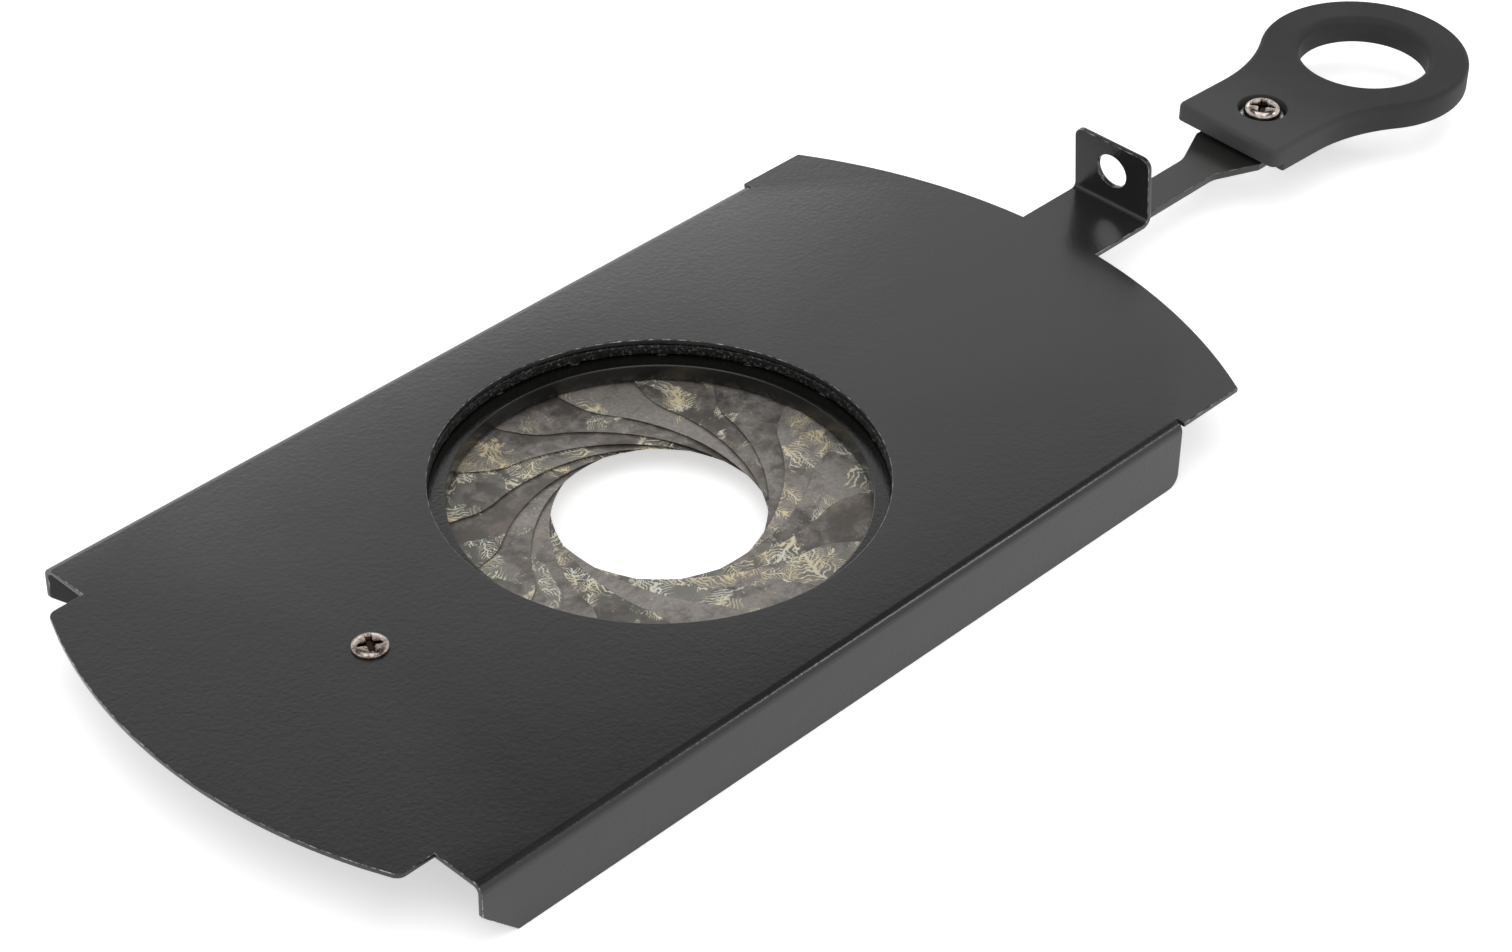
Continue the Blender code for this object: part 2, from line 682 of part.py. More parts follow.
def drive_angle():
    """Degrees from the pivot to the drive pin about the centre of the blade's edges."""
    return math.degrees((DRIVE_PIN - ARC_CENTRE).angle_signed(Vector((1.0, 0.0))))


def blade_outline():
    """Crescent with a round pivot tab and a blunt drive end, anticlockwise."""
    drive = drive_angle()
    end = drive + BLADE_END_PAST_PIN
    ear = (DRIVE_PIN - ARC_CENTRE).length + DRIVE_EAR
    outer = arc(BLADE_OUTER, TAB_OUTER, drive - TIP_SLOPE, BLADE_OUTER_STEPS, ARC_CENTRE)
    inner = arc(BLADE_INNER, end - TIP_BLEND, TAB_INNER, BLADE_INNER_STEPS, ARC_CENTRE)
    corners = [(outer[-1], 0),
               (polar(ear, drive - TIP_SHOULDER, ARC_CENTRE), TIP_ROUND),
               (polar(ear, end, ARC_CENTRE), TIP_ROUND),
               (polar(BLADE_INNER, end, ARC_CENTRE), TIP_INNER_ROUND),
               (inner[0], 0)]
    tip = rounded(corners)[1:-1]
    tab = arc(PIVOT_TAB, TAB_BLEND - 180, -TAB_BLEND, BLADE_TAB_STEPS)
    return outer + tip + inner + tab


def blade_mesh():
    """Thin twisted blade with a pivot pin below one end and a drive pin above the other."""
    bm = bmesh.new()
    outline = blade_outline()
    half = BLADE_THICKNESS / 2
    spots = []
    for share in SPINE_SHARES:
        radius = BLADE_INNER + BLADE_WIDTH * share
        spots += arc(radius, TIP_SLOPE, drive_angle() - TIP_SLOPE, SPINE_STEPS, ARC_CENTRE)
    pins = {1: circle(PIN_RADIUS, PIN_STEPS, DRIVE_PIN), -1: circle(PIN_RADIUS, PIN_STEPS)}
    tips = {1: LEVER_TOP - GAP, -1: floor_bottom() + PIN_RECESS}
    edges = {}
    for side, pin in pins.items():
        def height(point, lift=side * half):
            return blade_height(point) + lift
        edges[side] = add_loop(bm, outline, height)
        root = add_loop(bm, pin, height)
        fill(bm, [edges[side], root], add_loop(bm, spots, height))
        tip = add_loop(bm, pin, tips[side])
        wall(bm, root, tip)
        fill(bm, [tip])
    wall(bm, edges[-1], edges[1])
    return mesh_from(bm, "blade")


def floor_top():
    """Top of the housing's floor, just below the lowest blade ends."""
    lowest = min(blade_height(p) for p in blade_outline())
    return lowest - BLADE_THICKNESS / 2 - GAP


def floor_bottom():
    """Underside of the housing."""
    return floor_top() - FLOOR_THICKNESS


def add_lug(bm, belt, rim, tip, point):
    """One fixing lug outside the cup's wall, with the pad above it that guides the lever ring.

    The belt is the row of wall vertices at the lug's underside and the rim the row at the wall's
    top, both anticlockwise along the lug's root.
    """
    root = [Vector(v.co.xy) for v in belt]
    brow = add_loop(bm, root, LUG_TOP)
    under, over = add_loop(bm, tip, LUG_BOTTOM), add_loop(bm, tip, LUG_TOP)
    for row, above in ((rim, brow), (under, over)):
        for i in range(len(row) - 1):
            bm.faces.new((row[i], row[i + 1], above[i + 1], above[i]))
    bm.faces.new((belt[0], under[0], over[0], brow[0], rim[0]))
    bm.faces.new((under[-1], belt[-1], rim[-1], brow[-1], over[-1]))
    hole = circle(SCREW_RADIUS + HOLE_CLEARANCE, HOLE_STEPS, point)
    mouth, exit_loop = add_loop(bm, hole, LUG_TOP), add_loop(bm, hole, LUG_BOTTOM)
    wall(bm, exit_loop, mouth)
    fill(bm, [over + brow[::-1], mouth])
    fill(bm, [under + belt[::-1], exit_loop])


def cup_housing(look, parent):
    """Cup whose floor carries the blade pivots, with three fixing lugs."""
    bm = bmesh.new()
    free = between_lugs(CARTRIDGE_RADIUS)
    roots = [arc(CARTRIDGE_RADIUS, start, end, LUG_ROOT_STEPS)[1:-1]
             for start, end, _ in lug_spans(CARTRIDGE_RADIUS)]
    outline = [p for stretch, root in zip(free, roots) for p in stretch + root]
    base, belt, rim = (add_loop(bm, outline, z) for z in (floor_bottom(), LUG_BOTTOM, CUP_RIM))
    wall(bm, base, belt)
    start = 0
    centres = [point for _, _, point in lug_spans(CARTRIDGE_RADIUS)]
    for stretch, root, tip, point in zip(free, roots, lug_tips(CARTRIDGE_RADIUS), centres):
        for i in range(start, start + len(stretch) - 1):
            bm.faces.new((belt[i], belt[i + 1], rim[i + 1], rim[i]))
        first = start + len(stretch) - 1
        under_lug = [i % len(belt) for i in range(first, first + len(root) + 2)]
        add_lug(bm, [belt[i] for i in under_lug], [rim[i] for i in under_lug], tip, point)
        start += len(stretch) + len(root)
    bore = circle(CARTRIDGE_RADIUS - CUP_WALL, RING_STEPS)
    mouth, corner = add_loop(bm, bore, CUP_RIM), add_loop(bm, bore, floor_top())
    fill(bm, [rim, mouth])
    wall(bm, corner, mouth)
    holes = [circle(FLOOR_BORE, RING_STEPS)]
    holes += [circle(PIN_RADIUS + HOLE_CLEARANCE, PIN_STEPS, polar(PIVOT_CIRCLE, angle))
              for angle in blade_angles()]
    upper = [add_loop(bm, points, floor_top()) for points in holes]
    lower = [add_loop(bm, points, floor_bottom()) for points in holes]
    fill(bm, [corner, *upper])
    fill(bm, [base, *lower])
    for below, above in zip(lower, upper):
        wall(bm, below, above)
    return place("cup_housing", mesh_from(bm, "cup_housing"), look, parent)


def handle_outline():
    """Plan of the handle: blunt front, hollow neck and round finger ring, anticlockwise."""
    rise = HANDLE_HALF_WIDTH + NECK_RADIUS
    run = math.sqrt((NECK_RADIUS + FINGER_OUTER) ** 2 - rise ** 2)
    meet = math.degrees(math.atan2(rise, run))
    ring = arc(FINGER_OUTER, meet - 180, 180 - meet, EYE_STEPS, (FINGER_CENTRE, 0.0))
    neck = arc(NECK_RADIUS, -meet, -90, NECK_STEPS, (FINGER_CENTRE - run, rise))[1:]
    front = rounded([(neck[-1], 0),
                     (Vector((HANDLE_FRONT, HANDLE_HALF_WIDTH)), HANDLE_CORNER),
                     (Vector((HANDLE_FRONT, -HANDLE_HALF_WIDTH)), HANDLE_CORNER),
                     (Vector((neck[-1].x, -HANDLE_HALF_WIDTH)), 0)])[1:]
    back = [Vector((p.x, -p.y)) for p in reversed(neck[:-1])]
    return ring + neck + front + back


def handle(look, parent):
    """Moulded finger ring with rounded edges, a counterbored screw hole and an open underside."""
    bm = bmesh.new()
    outline = handle_outline()
    levels = [(HANDLE_FOOT, UNDER_ROUND), (HANDLE_FOOT + UNDER_ROUND, 0.0)]
    for step in range(EDGE_STEPS + 1):
        angle = math.radians(90 * step / EDGE_STEPS)
        levels.append((HANDLE_TOP - EDGE_ROUND * (1 - math.sin(angle)),
                       EDGE_ROUND * (1 - math.cos(angle))))
    sides = []
    holes = []
    for height, inset in levels:
        sides.append(add_loop(bm, offset_outline(outline, inset), height))
        hole = circle(FINGER_HOLE + inset, EYE_STEPS, (FINGER_CENTRE, 0.0))
        holes.append(add_loop(bm, hole, height))
    for loops in (sides, holes):
        for below, above in zip(loops, loops[1:]):
            wall(bm, below, above)
    centre = (HANDLE_SCREW_X, 0.0)
    shoulder = HANDLE_TOP - COUNTERBORE_DEPTH
    rim = circle(COUNTERBORE_RADIUS, MOUTH_STEPS, centre)
    bore = fixing_holes([centre], HANDLE_SCREW_RADIUS)[0]
    mouth, ledge = add_loop(bm, rim, HANDLE_TOP), add_loop(bm, rim, shoulder)
    throat, foot = add_loop(bm, bore, shoulder), add_loop(bm, bore, HANDLE_FOOT)
    wall(bm, ledge, mouth)
    fill(bm, [ledge, throat])
    wall(bm, foot, throat)
    fill(bm, [sides[-1], holes[-1], mouth])
    fill(bm, [sides[0], holes[0], foot])
    made = place("handle", mesh_from(bm, "handle"), look, parent)
    pocket = handle_pocket(parent)
    boolean(made, pocket, 'DIFFERENCE')
    about = Matrix.Translation((*centre, 0.0))
    lean = about @ Matrix.Rotation(math.radians(HANDLE_LEAN), 4, 'Z') @ about.inverted()
    made.data.transform(lean)
    pocket.data.transform(lean)
    return made


def handle_pocket(parent):
    """Cutter for the channel round the handle's seat on the arm, open at the front.

    It is deeper round the seat than under it, so the handle's rim reaches down past the arm's top.
    """
    bm = bmesh.new()
    half = HANDLE_HALF_WIDTH - POCKET_WALL
    seat = ARM_FOOT_WIDTH / 2 - SEAT_MARGIN
    back = ARM_END + SEAT_MARGIN
    mouth = HANDLE_FRONT - CUTTER_REACH
    outline = rounded([(Vector((mouth, -half)), 0),
                       (Vector((back, -half)), POCKET_CORNER),
                       (Vector((back, half)), POCKET_CORNER),
                       (Vector((mouth, half)), 0)])
    front = HANDLE_FRONT + SEAT_SETBACK
    rear = ARM_END - SEAT_MARGIN
    island = rounded([(Vector((front, -seat)), SEAT_MARGIN),
                      (Vector((rear, -seat)), SEAT_MARGIN),
                      (Vector((rear, seat)), SEAT_MARGIN),
                      (Vector((front, seat)), SEAT_MARGIN)])
    ceiling = HANDLE_SEAT + POCKET_DEPTH
    open_side = add_loop(bm, outline, HANDLE_FOOT - CUTTER_REACH)
    roof, roof_gap = add_loop(bm, outline, ceiling), add_loop(bm, island, ceiling)
    under_seat = add_loop(bm, island, HANDLE_SEAT)
    fill(bm, [open_side])
    fill(bm, [roof, roof_gap])
    fill(bm, [under_seat])
    wall(bm, open_side, roof)
    wall(bm, under_seat, roof_gap)
    return helper("handle_pocket", bm, parent)


def pan_screw(name, seat, end, height, centre, look, parent, head=HEAD_RADIUS, shank=SCREW_RADIUS):
    """Pan-head screw whose head sits on a seat height and whose plain shank ends lower down."""
    rise = height - HEAD_BAND
    crown = []
    for step in range(HEAD_STEPS + 1):
        angle = math.radians(90 * step / HEAD_STEPS)
        crown.append((head - HEAD_SHOULDER * (1 - math.cos(angle)),
                      seat + HEAD_BAND + rise * math.sin(angle)))
    profile = [(0, end), (shank, end), (shank, seat), (head, seat)]
    profile += [*crown, (0, seat + height)]
    bm = bmesh.new()
    lathe_into(bm, profile, MOUTH_STEPS)
    return place(name, mesh_from(bm, name), look, parent, centre)


def washer(name, top, centre, look, parent, radius=WASHER_RADIUS, shank=SCREW_RADIUS):
    """Plain washer."""
    bm = bmesh.new()
    hole = fixing_holes([(0.0, 0.0)], shank)
    prism_into(bm, circle(radius, MOUTH_STEPS), hole, top - WASHER_THICKNESS, top)
    return place(name, mesh_from(bm, name), look, parent, centre)


def nut(name, top, centre, look, parent, flats=NUT_FLATS, height=NUT_HEIGHT, shank=SCREW_RADIUS):
    """Hexagon nut."""
    bm = bmesh.new()
    across_corners = flats / math.cos(math.radians(30))
    hexagon = circle(across_corners / 2, 6)
    prism_into(bm, hexagon, fixing_holes([(0.0, 0.0)], shank), top - height, top)
    return place(name, mesh_from(bm, name), look, parent, centre)


def clear_scene():
    """Removes what the file holds."""
    for existing in list(bpy.data.objects):
        bpy.data.objects.remove(existing, do_unlink=True)


def main():
    """Builds every part under the datum empty."""
    clear_scene()
    coat = material("powder_coat", (0.055, 0.055, 0.056), 0.42)
    rough = material("rough_black", (0.012, 0.012, 0.012), 0.7)
    dark_steel = material("blackened_steel", (0.035, 0.035, 0.034), 0.38, 0.6)
    steel = material("blade_steel", (0.20, 0.185, 0.165), 0.45, 0.85)
    bright = material("plated_steel", (0.55, 0.50, 0.45), 0.3, 1.0)
    moulding = material("soft_touch", (0.058, 0.058, 0.058), 0.75)

    overhang = FINGER_CENTRE + FINGER_OUTER - HANDLE_SCREW_X
    far_end = HANDLE_SCREW_X + overhang * math.cos(math.radians(HANDLE_LEAN))
    middle = (far_end - NEAR_APEX) / 2
    datum = empty("datum", (-middle, 0.0, FLANGE_DEPTH))
    carrier_plate(coat, datum)
    cover_ring(rough, datum)
    cup_housing(rough, datum)
    points = dict(zip(("near", "right", "left"), fixing_points()))
    pan_screw("plate_screw", GAP, screw_end(), PLATE_HEAD_HEIGHT, points["near"], bright, datum)
    for where, point in points.items():
        washer(f"fixing_washer_{where}", washer_top(), point, bright, datum)
        nut(f"fixing_nut_{where}", nut_top(), point, bright, datum)

    lever = empty("lever_axis", (0.0, 0.0, 0.0), datum)
    lever_ring(dark_steel, lever)
    handle(moulding, lever)
    at_screw = (HANDLE_SCREW_X, 0.0)
    seat = HANDLE_TOP - COUNTERBORE_DEPTH + GAP
    washer("handle_washer", seat + WASHER_THICKNESS, at_screw, bright, lever,
           HANDLE_WASHER_RADIUS, HANDLE_SCREW_RADIUS)
    head = seat + WASHER_THICKNESS + GAP
    nut_face = LEVER_BOTTOM - GAP
    tip = nut_face - HANDLE_NUT_HEIGHT - SCREW_OVERRUN
    pan_screw("handle_screw", head, tip, HANDLE_HEAD_HEIGHT, at_screw, bright, lever,
              HANDLE_HEAD_RADIUS, HANDLE_SCREW_RADIUS)
    nut("handle_nut", nut_face, at_screw, bright, lever, HANDLE_NUT_FLATS, HANDLE_NUT_HEIGHT,
        HANDLE_SCREW_RADIUS)

    shape = blade_mesh()
    for number, angle in enumerate(blade_angles(), start=1):
        place(f"blade_{number:02d}", shape, steel, datum, polar(PIVOT_CIRCLE, angle),
              angle + math.degrees(REST_TURN))


main()
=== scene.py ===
"""Looks of a drop-in iris diaphragm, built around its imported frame.

Lengths in the shape classes are millimetres about the iris: its axis is the origin, the plate's
top face is height zero and the lever points along +X.  Datum turns them into metres in the frame.
"""

from __future__ import annotations

import json
import logging
import math
from dataclasses import dataclass, field
from enum import Enum
from typing import Any, Callable, Sequence

import bpy
import numpy as np
from mathutils import Matrix, Vector
from mathutils.geometry import delaunay_2d_cdt

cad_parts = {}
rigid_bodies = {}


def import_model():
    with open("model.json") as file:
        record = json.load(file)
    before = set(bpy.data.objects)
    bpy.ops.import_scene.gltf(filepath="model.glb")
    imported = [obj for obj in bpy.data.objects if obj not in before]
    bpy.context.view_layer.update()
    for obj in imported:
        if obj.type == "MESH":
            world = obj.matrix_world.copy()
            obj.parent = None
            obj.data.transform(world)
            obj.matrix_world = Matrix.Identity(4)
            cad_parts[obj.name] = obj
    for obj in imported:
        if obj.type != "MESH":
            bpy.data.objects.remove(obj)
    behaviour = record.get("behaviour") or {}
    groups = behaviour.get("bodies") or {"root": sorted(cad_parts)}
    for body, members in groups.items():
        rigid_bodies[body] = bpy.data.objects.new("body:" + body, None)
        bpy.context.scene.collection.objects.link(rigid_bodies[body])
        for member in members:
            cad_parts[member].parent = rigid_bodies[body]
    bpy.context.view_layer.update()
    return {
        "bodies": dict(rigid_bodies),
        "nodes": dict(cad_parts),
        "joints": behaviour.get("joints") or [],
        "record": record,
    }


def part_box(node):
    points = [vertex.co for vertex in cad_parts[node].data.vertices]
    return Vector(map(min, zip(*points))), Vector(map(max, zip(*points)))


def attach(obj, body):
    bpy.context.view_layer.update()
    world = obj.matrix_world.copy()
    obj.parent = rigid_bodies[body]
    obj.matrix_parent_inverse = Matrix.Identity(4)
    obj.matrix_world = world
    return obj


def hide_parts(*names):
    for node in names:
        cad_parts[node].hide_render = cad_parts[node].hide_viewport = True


MM = 0.001
LOG = logging.getLogger("iris")
RING_STEPS = 180
SMOOTH_BELOW = 38.0
HEAD_SMOOTH_BELOW = 30.0
NUT_SMOOTH_BELOW = 25.0

Placement = Callable[[np.ndarray, float], np.ndarray]
Colour = tuple[float, float, float]
WHITE: Colour = (1.0, 1.0, 1.0)


class Slot(Enum):
    """Material slots of the record."""

    COAT = "powder_coat"
    ROUGH = "rough_black"
    LEVER = "blackened_steel"
    BLADE = "blade_steel"
    PLATED = "plated_steel"
    HANDLE = "soft_touch"


class Body(Enum):
    """Bodies that pieces ride on, apart from the blades' own."""

    CARRIER = "carrier"
    LEVER = "lever"


@dataclass(frozen=True)
class Datum:
    """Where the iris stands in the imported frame, in metres."""

    x: float
    y: float
    z: float

    @classmethod
    def from_frame(cls, frame: dict[str, Any], sheet: "SheetSizes") -> "Datum":
        """Reads the axis from the lever's joint and the height from the cover ring.

        Args:
            sheet: Thickness and seating gap between the plate's top and the cover ring.

        Returns:
            The datum.
        """
        swing = next(j for j in frame["joints"] if j["name"] == "lever_swing")
        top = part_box("cover_ring")[1].z + (sheet.thickness + sheet.gap) * MM
        return cls(swing["pos_m"][0], swing["pos_m"][1], top)

    def place(self, points: np.ndarray) -> np.ndarray:
        """Millimetres about the iris as metres in the frame."""
        return points * MM + np.array([self.x, self.y, self.z])


@dataclass(frozen=True)
class SheetSizes:
    """Sizes that every layer of the stack shares."""

    thickness: float = 1.0
    gap: float = 0.3


@dataclass(frozen=True)
class Levels:
    """Heights of the stack below the plate's top face."""

    cover_top: float = -1.3
    cover_bottom: float = -3.2
    lever_top: float = -3.5
    lever_bottom: float = -5.0
    cup_rim: float = -5.3
    lug_bottom: float = -9.0
    washer_top: float = -9.3
    nut_top: float = -10.1
    screw_end: float = -12.9
    lip_bottom: float = -6.75
    blade_pin: float = -7.2
    drive_tip: float = -3.8


def polar(radius: float | np.ndarray, degrees: float | np.ndarray,
          centre: Sequence[float] = (0.0, 0.0)) -> np.ndarray:
    """Points at radii and angles about a centre: centre + radius (cos, sin)."""
    angle = np.radians(degrees)
    return np.stack([centre[0] + radius * np.cos(angle), centre[1] + radius * np.sin(angle)], -1)


def arc(radius: float, start: float, end: float, steps: int,
        centre: Sequence[float] = (0.0, 0.0)) -> np.ndarray:
    """Points along an arc between two angles in degrees, both ends included."""
    return polar(radius, np.linspace(start, end, steps + 1), centre)


def hole(radius: float, steps: int, centre: Sequence[float] = (0.0, 0.0)) -> np.ndarray:
    """Clockwise circle, as the outline of a hole."""
    return arc(radius, 360.0, 0.0, steps, centre)[:-1]


def disc(radius: float, steps: int, centre: Sequence[float] = (0.0, 0.0)) -> np.ndarray:
    """Anticlockwise circle, as the outline of a piece."""
    return arc(radius, 0.0, 360.0, steps, centre)[:-1]


def unit(vectors: np.ndarray) -> np.ndarray:
    """Vectors of length one in the same directions."""
    return vectors / np.maximum(np.linalg.norm(vectors, axis=-1, keepdims=True), 1e-9)


def left_of(vectors: np.ndarray) -> np.ndarray:
    """Plan vectors turned a quarter turn to the left."""
    return np.stack([-vectors[:, 1], vectors[:, 0]], -1)


def spin(degrees: float) -> np.ndarray:
    """Matrix of a turn about the Z axis."""
    a = math.radians(degrees)
    return np.array([[math.cos(a), -math.sin(a), 0], [math.sin(a), math.cos(a), 0], [0, 0, 1]])


def falling(values: np.ndarray, end: float, slope: float) -> np.ndarray:
    """One well below an end value, and down to zero at it over a slope."""
    return np.clip((end - values) / slope, 0, 1)


def rounded(corners: Sequence[tuple[float, float, float]], steps: int = 8) -> np.ndarray:
    """Closed outline through (x, y, radius) corners.

    Args:
        corners: Corner points; a radius above zero rounds the corner by an arc tangent to both
            of its sides.
        steps: Segments along each round.

    Returns:
        Outline points of shape (n, 2).
    """
    points = np.array([c[:2] for c in corners], float)
    pieces = []
    for i, (_, _, radius) in enumerate(corners):
        corner = points[i]
        if radius <= 0:
            pieces.append(corner[None])
            continue
        back = unit(points[i - 1] - corner)
        ahead = unit(points[(i + 1) % len(points)] - corner)
        half = math.acos(float(np.clip(back @ ahead, -1, 1))) / 2
        centre = corner + unit(back + ahead) * radius / math.sin(half)
        first = corner + back * radius / math.tan(half) - centre
        last = corner + ahead * radius / math.tan(half) - centre
        sweep = math.acos(float(np.clip(first @ last / radius ** 2, -1, 1)))
        t = np.linspace(0, 1, steps + 1)[:, None]
        blend = np.sin((1 - t) * sweep) * first + np.sin(t * sweep) * last
        pieces.append(centre + blend / math.sin(sweep))
    return np.vstack(pieces)


def inset(points: np.ndarray, distance: float) -> np.ndarray:
    """Outline moved to its left by a distance, along the bisector of each corner.

    The left of an anticlockwise outline, and of a clockwise hole, is the material's side.
    """
    if distance == 0:
        return points
    back = unit(points - np.roll(points, 1, 0))
    ahead = unit(np.roll(points, -1, 0) - points)
    normal = left_of(unit(back + ahead))
    stretch = np.maximum((normal * left_of(ahead)).sum(1, keepdims=True), 0.5)
    return points + normal * distance / stretch


def within(points: np.ndarray, outline: np.ndarray) -> np.ndarray:
    """Which points lie inside an outline, by counting the sides that a ray to +X crosses."""
    x, y = points[:, 0, None], points[:, 1, None]
    ax, ay = outline[:, 0], outline[:, 1]
    bx, by = np.roll(ax, 1), np.roll(ay, 1)
    spans = (ay > y) != (by > y)
    rise = np.where(by == ay, 1.0, by - ay)
    crossing = ax + (y - ay) * (bx - ax) / rise
    return (spans & (x < crossing)).sum(1) % 2 == 1


def round_over(radius: float, top: float, steps: int) -> np.ndarray:
    """Quarter circle of (inset, height) pairs from a top face down to the side."""
    t = np.radians(np.linspace(0, 90, steps + 1))
    return np.stack([radius * (1 - np.sin(t)), top - radius * (1 - np.cos(t))], -1)


def round_under(radius: float, bottom: float, steps: int) -> np.ndarray:
    """Quarter circle of (inset, height) pairs from the side down to a bottom face."""
    t = np.radians(np.linspace(0, 90, steps + 1))
    return np.stack([radius * (1 - np.cos(t)), bottom + radius * (1 - np.sin(t))], -1)


def square_edge(top: float, bottom: float, over: float, under: float | None = None,
                steps: int = 4) -> np.ndarray:
    """Cross-section of a sheet's edge from its top face to its bottom face.

    Args:
        top: Height of the top face.
        bottom: Height of the bottom face.
        over: Radius of the quarter round at the top.
        under: Radius at the bottom; the top's radius where it is left out.
        steps: Segments of each round.

    Returns:
        (inset, height) pairs: a quarter circle, the straight side and a quarter circle.
    """
    under = over if under is None else under
    return np.vstack([round_over(over, top, steps) if over > 0 else [[0.0, top]],
                      round_under(under, bottom, steps) if under > 0 else [[0.0, bottom]]])


def turning(section: np.ndarray) -> np.ndarray:
    """How exposed each point of an edge's section is, from 0 on flats to 1 inside its rounds.

    It rises with the angle between the point's two sides, from 12 to 20 degrees.
    """
    steps = unit(np.diff(section, axis=0))
    bend = np.degrees(np.arccos(np.clip((steps[:-1] * steps[1:]).sum(1), -1, 1)))
    return np.concatenate([[0.0], np.clip((bend - 12) / 8, 0, 1), [0.0]])


def level(points: np.ndarray, height: float) -> np.ndarray:
    """Plan points at one height."""
    return np.column_stack([points, np.full(len(points), height)])


class Shell:
    """Rows of vertices and the faces between them, gathered into one mesh."""

    def __init__(self) -> None:
        """Starts empty."""
        self.points: list[np.ndarray] = []
        self.wear: list[np.ndarray] = []
        self.quads: list[np.ndarray] = []
        self.triangles: list[np.ndarray] = []
        self.creases: list[np.ndarray] = []
        self.count = 0

    def row(self, points: np.ndarray, wear: float | np.ndarray = 0.0) -> np.ndarray:
        """Adds vertices and returns their numbers; a mask from 0 to 1 marks exposed edges and screw pits,
        where the looks paint wear, highlight and shade.
        """
        numbers = np.arange(self.count, self.count + len(points))
        self.points.append(points)
        self.wear.append(np.zeros(len(points)) + wear)
        self.count += len(points)
        return numbers

    def bridge(self, first: np.ndarray, second: np.ndarray) -> None:
        """Quads between two closed rows; they face away from the left of their direction."""
        self.quads.append(np.column_stack([first, second, np.roll(second, -1), np.roll(first, -1)]))

    def skin(self, rows: Sequence[np.ndarray]) -> None:
        """Quads between each closed row and the next."""
        for above, below in zip(rows, rows[1:]):
            self.bridge(above, below)

    def close(self, loop: np.ndarray, centre: Sequence[float], height: float, upward: bool) -> None:
        """Triangles from a closed anticlockwise row to one new vertex at a plan point."""
        peak = self.row(level(np.array([centre], float), height))
        faces = np.column_stack([loop, np.roll(loop, -1), np.repeat(peak, len(loop))])
        self.triangles.append(faces if upward else faces[:, ::-1])

    def crease(self, loop: np.ndarray) -> None:
        """Marks a closed row as a sharp edge."""
        self.creases.append(np.column_stack([loop, np.roll(loop, -1)]))

    def cap(self, loops: Sequence[np.ndarray], plans: Sequence[np.ndarray], upward: bool,
            inner: np.ndarray | None = None, inner_plan: np.ndarray | None = None) -> None:
        """Fills the first loop around the others with triangles, through any inner vertices.

        Args:
            loops: Vertex numbers of each loop.
            plans: Flat positions of each loop, in which the triangles are laid out.
            upward: Whether the faces point up in that plan.
            inner: Vertex numbers inside the fill.
            inner_plan: Their flat positions.
        """
        numbers = np.concatenate([*loops, inner] if inner is not None else list(loops))
        flat = np.vstack([*plans, inner_plan] if inner is not None else list(plans))
        edges: list[tuple[int, int]] = []
        start = 0
        for loop in loops:
            ring = np.arange(start, start + len(loop))
            edges += list(zip(ring.tolist(), np.roll(ring, -1).tolist()))
            start += len(loop)
        made = delaunay_2d_cdt([Vector(p) for p in flat.tolist()], edges, [], 0, 1e-6)
        origins = np.array([o[0] if o else -1 for o in made[3]])
        corners = origins[np.array(made[2])]
        corners = corners[(corners >= 0).all(1)]
        middle = flat[corners].mean(1)
        keep = within(middle, plans[0])
        for plan in plans[1:]:
            keep &= ~within(middle, plan)
        faces = numbers[corners[keep]]
        self.triangles.append(faces if upward else faces[:, ::-1])
        for loop in loops:
            self.crease(loop)

    def slab(self, loops: Sequence[tuple[np.ndarray, np.ndarray]],
             lay: Placement = level, inner_plan: np.ndarray | None = None) -> None:
        """Sheet or block: each outline's edge section carried round it, and a face on both sides.

        Args:
            loops: Outer outline and holes, each with the section of its edge from top to bottom.
            lay: Puts plan points at a height within the sheet into space.
            inner_plan: Extra plan points that the faces bend through.
        """
        ends = []
        for outline, section in loops:
            rows, plans = [], []
            for (distance, height), wear in zip(section, turning(section)):
                plans.append(inset(outline, float(distance)))
                rows.append(self.row(lay(plans[-1], float(height)), float(wear)))
            self.skin(rows)
            ends.append(((rows[0], plans[0]), (rows[-1], plans[-1])))
        section = loops[0][1]
        for side, height, upward in ((0, section[0][1], True), (1, section[-1][1], False)):
            numbers, plans = zip(*(end[side] for end in ends))
            inner = None if inner_plan is None else self.row(lay(inner_plan, float(height)))
            self.cap(numbers, plans, upward, inner, inner_plan)

    def sheet(self, outline: np.ndarray, edge: np.ndarray, holes: Sequence[np.ndarray] = (),
              lay: Placement = level, inner_plan: np.ndarray | None = None) -> None:
        """Slab with the same edge section round its outline and its holes."""
        self.slab([(loop, edge) for loop in (outline, *holes)], lay, inner_plan)

    def lathe(self, profile: np.ndarray, steps: int, centre: Sequence[float]) -> None:
        """Turned solid: (radius, height) pairs from the top of the axis to the bottom of it."""
        rows = [self.row(level(disc(radius, steps, centre), height)) for radius, height in profile]
        self.skin(rows)
        self.close(rows[0], centre, profile[0][1], True)
        self.close(rows[-1], centre, profile[-1][1], False)

    def turn(self, matrix: np.ndarray, shift: np.ndarray) -> "Shell":
        """Copy with every point turned by a 3 x 3 matrix and then shifted."""
        copy = Shell()
        copy.points = [p @ matrix.T + shift for p in self.points]
        copy.wear, copy.quads, copy.count = self.wear, self.quads, self.count
        copy.triangles, copy.creases = self.triangles, self.creases
        return copy

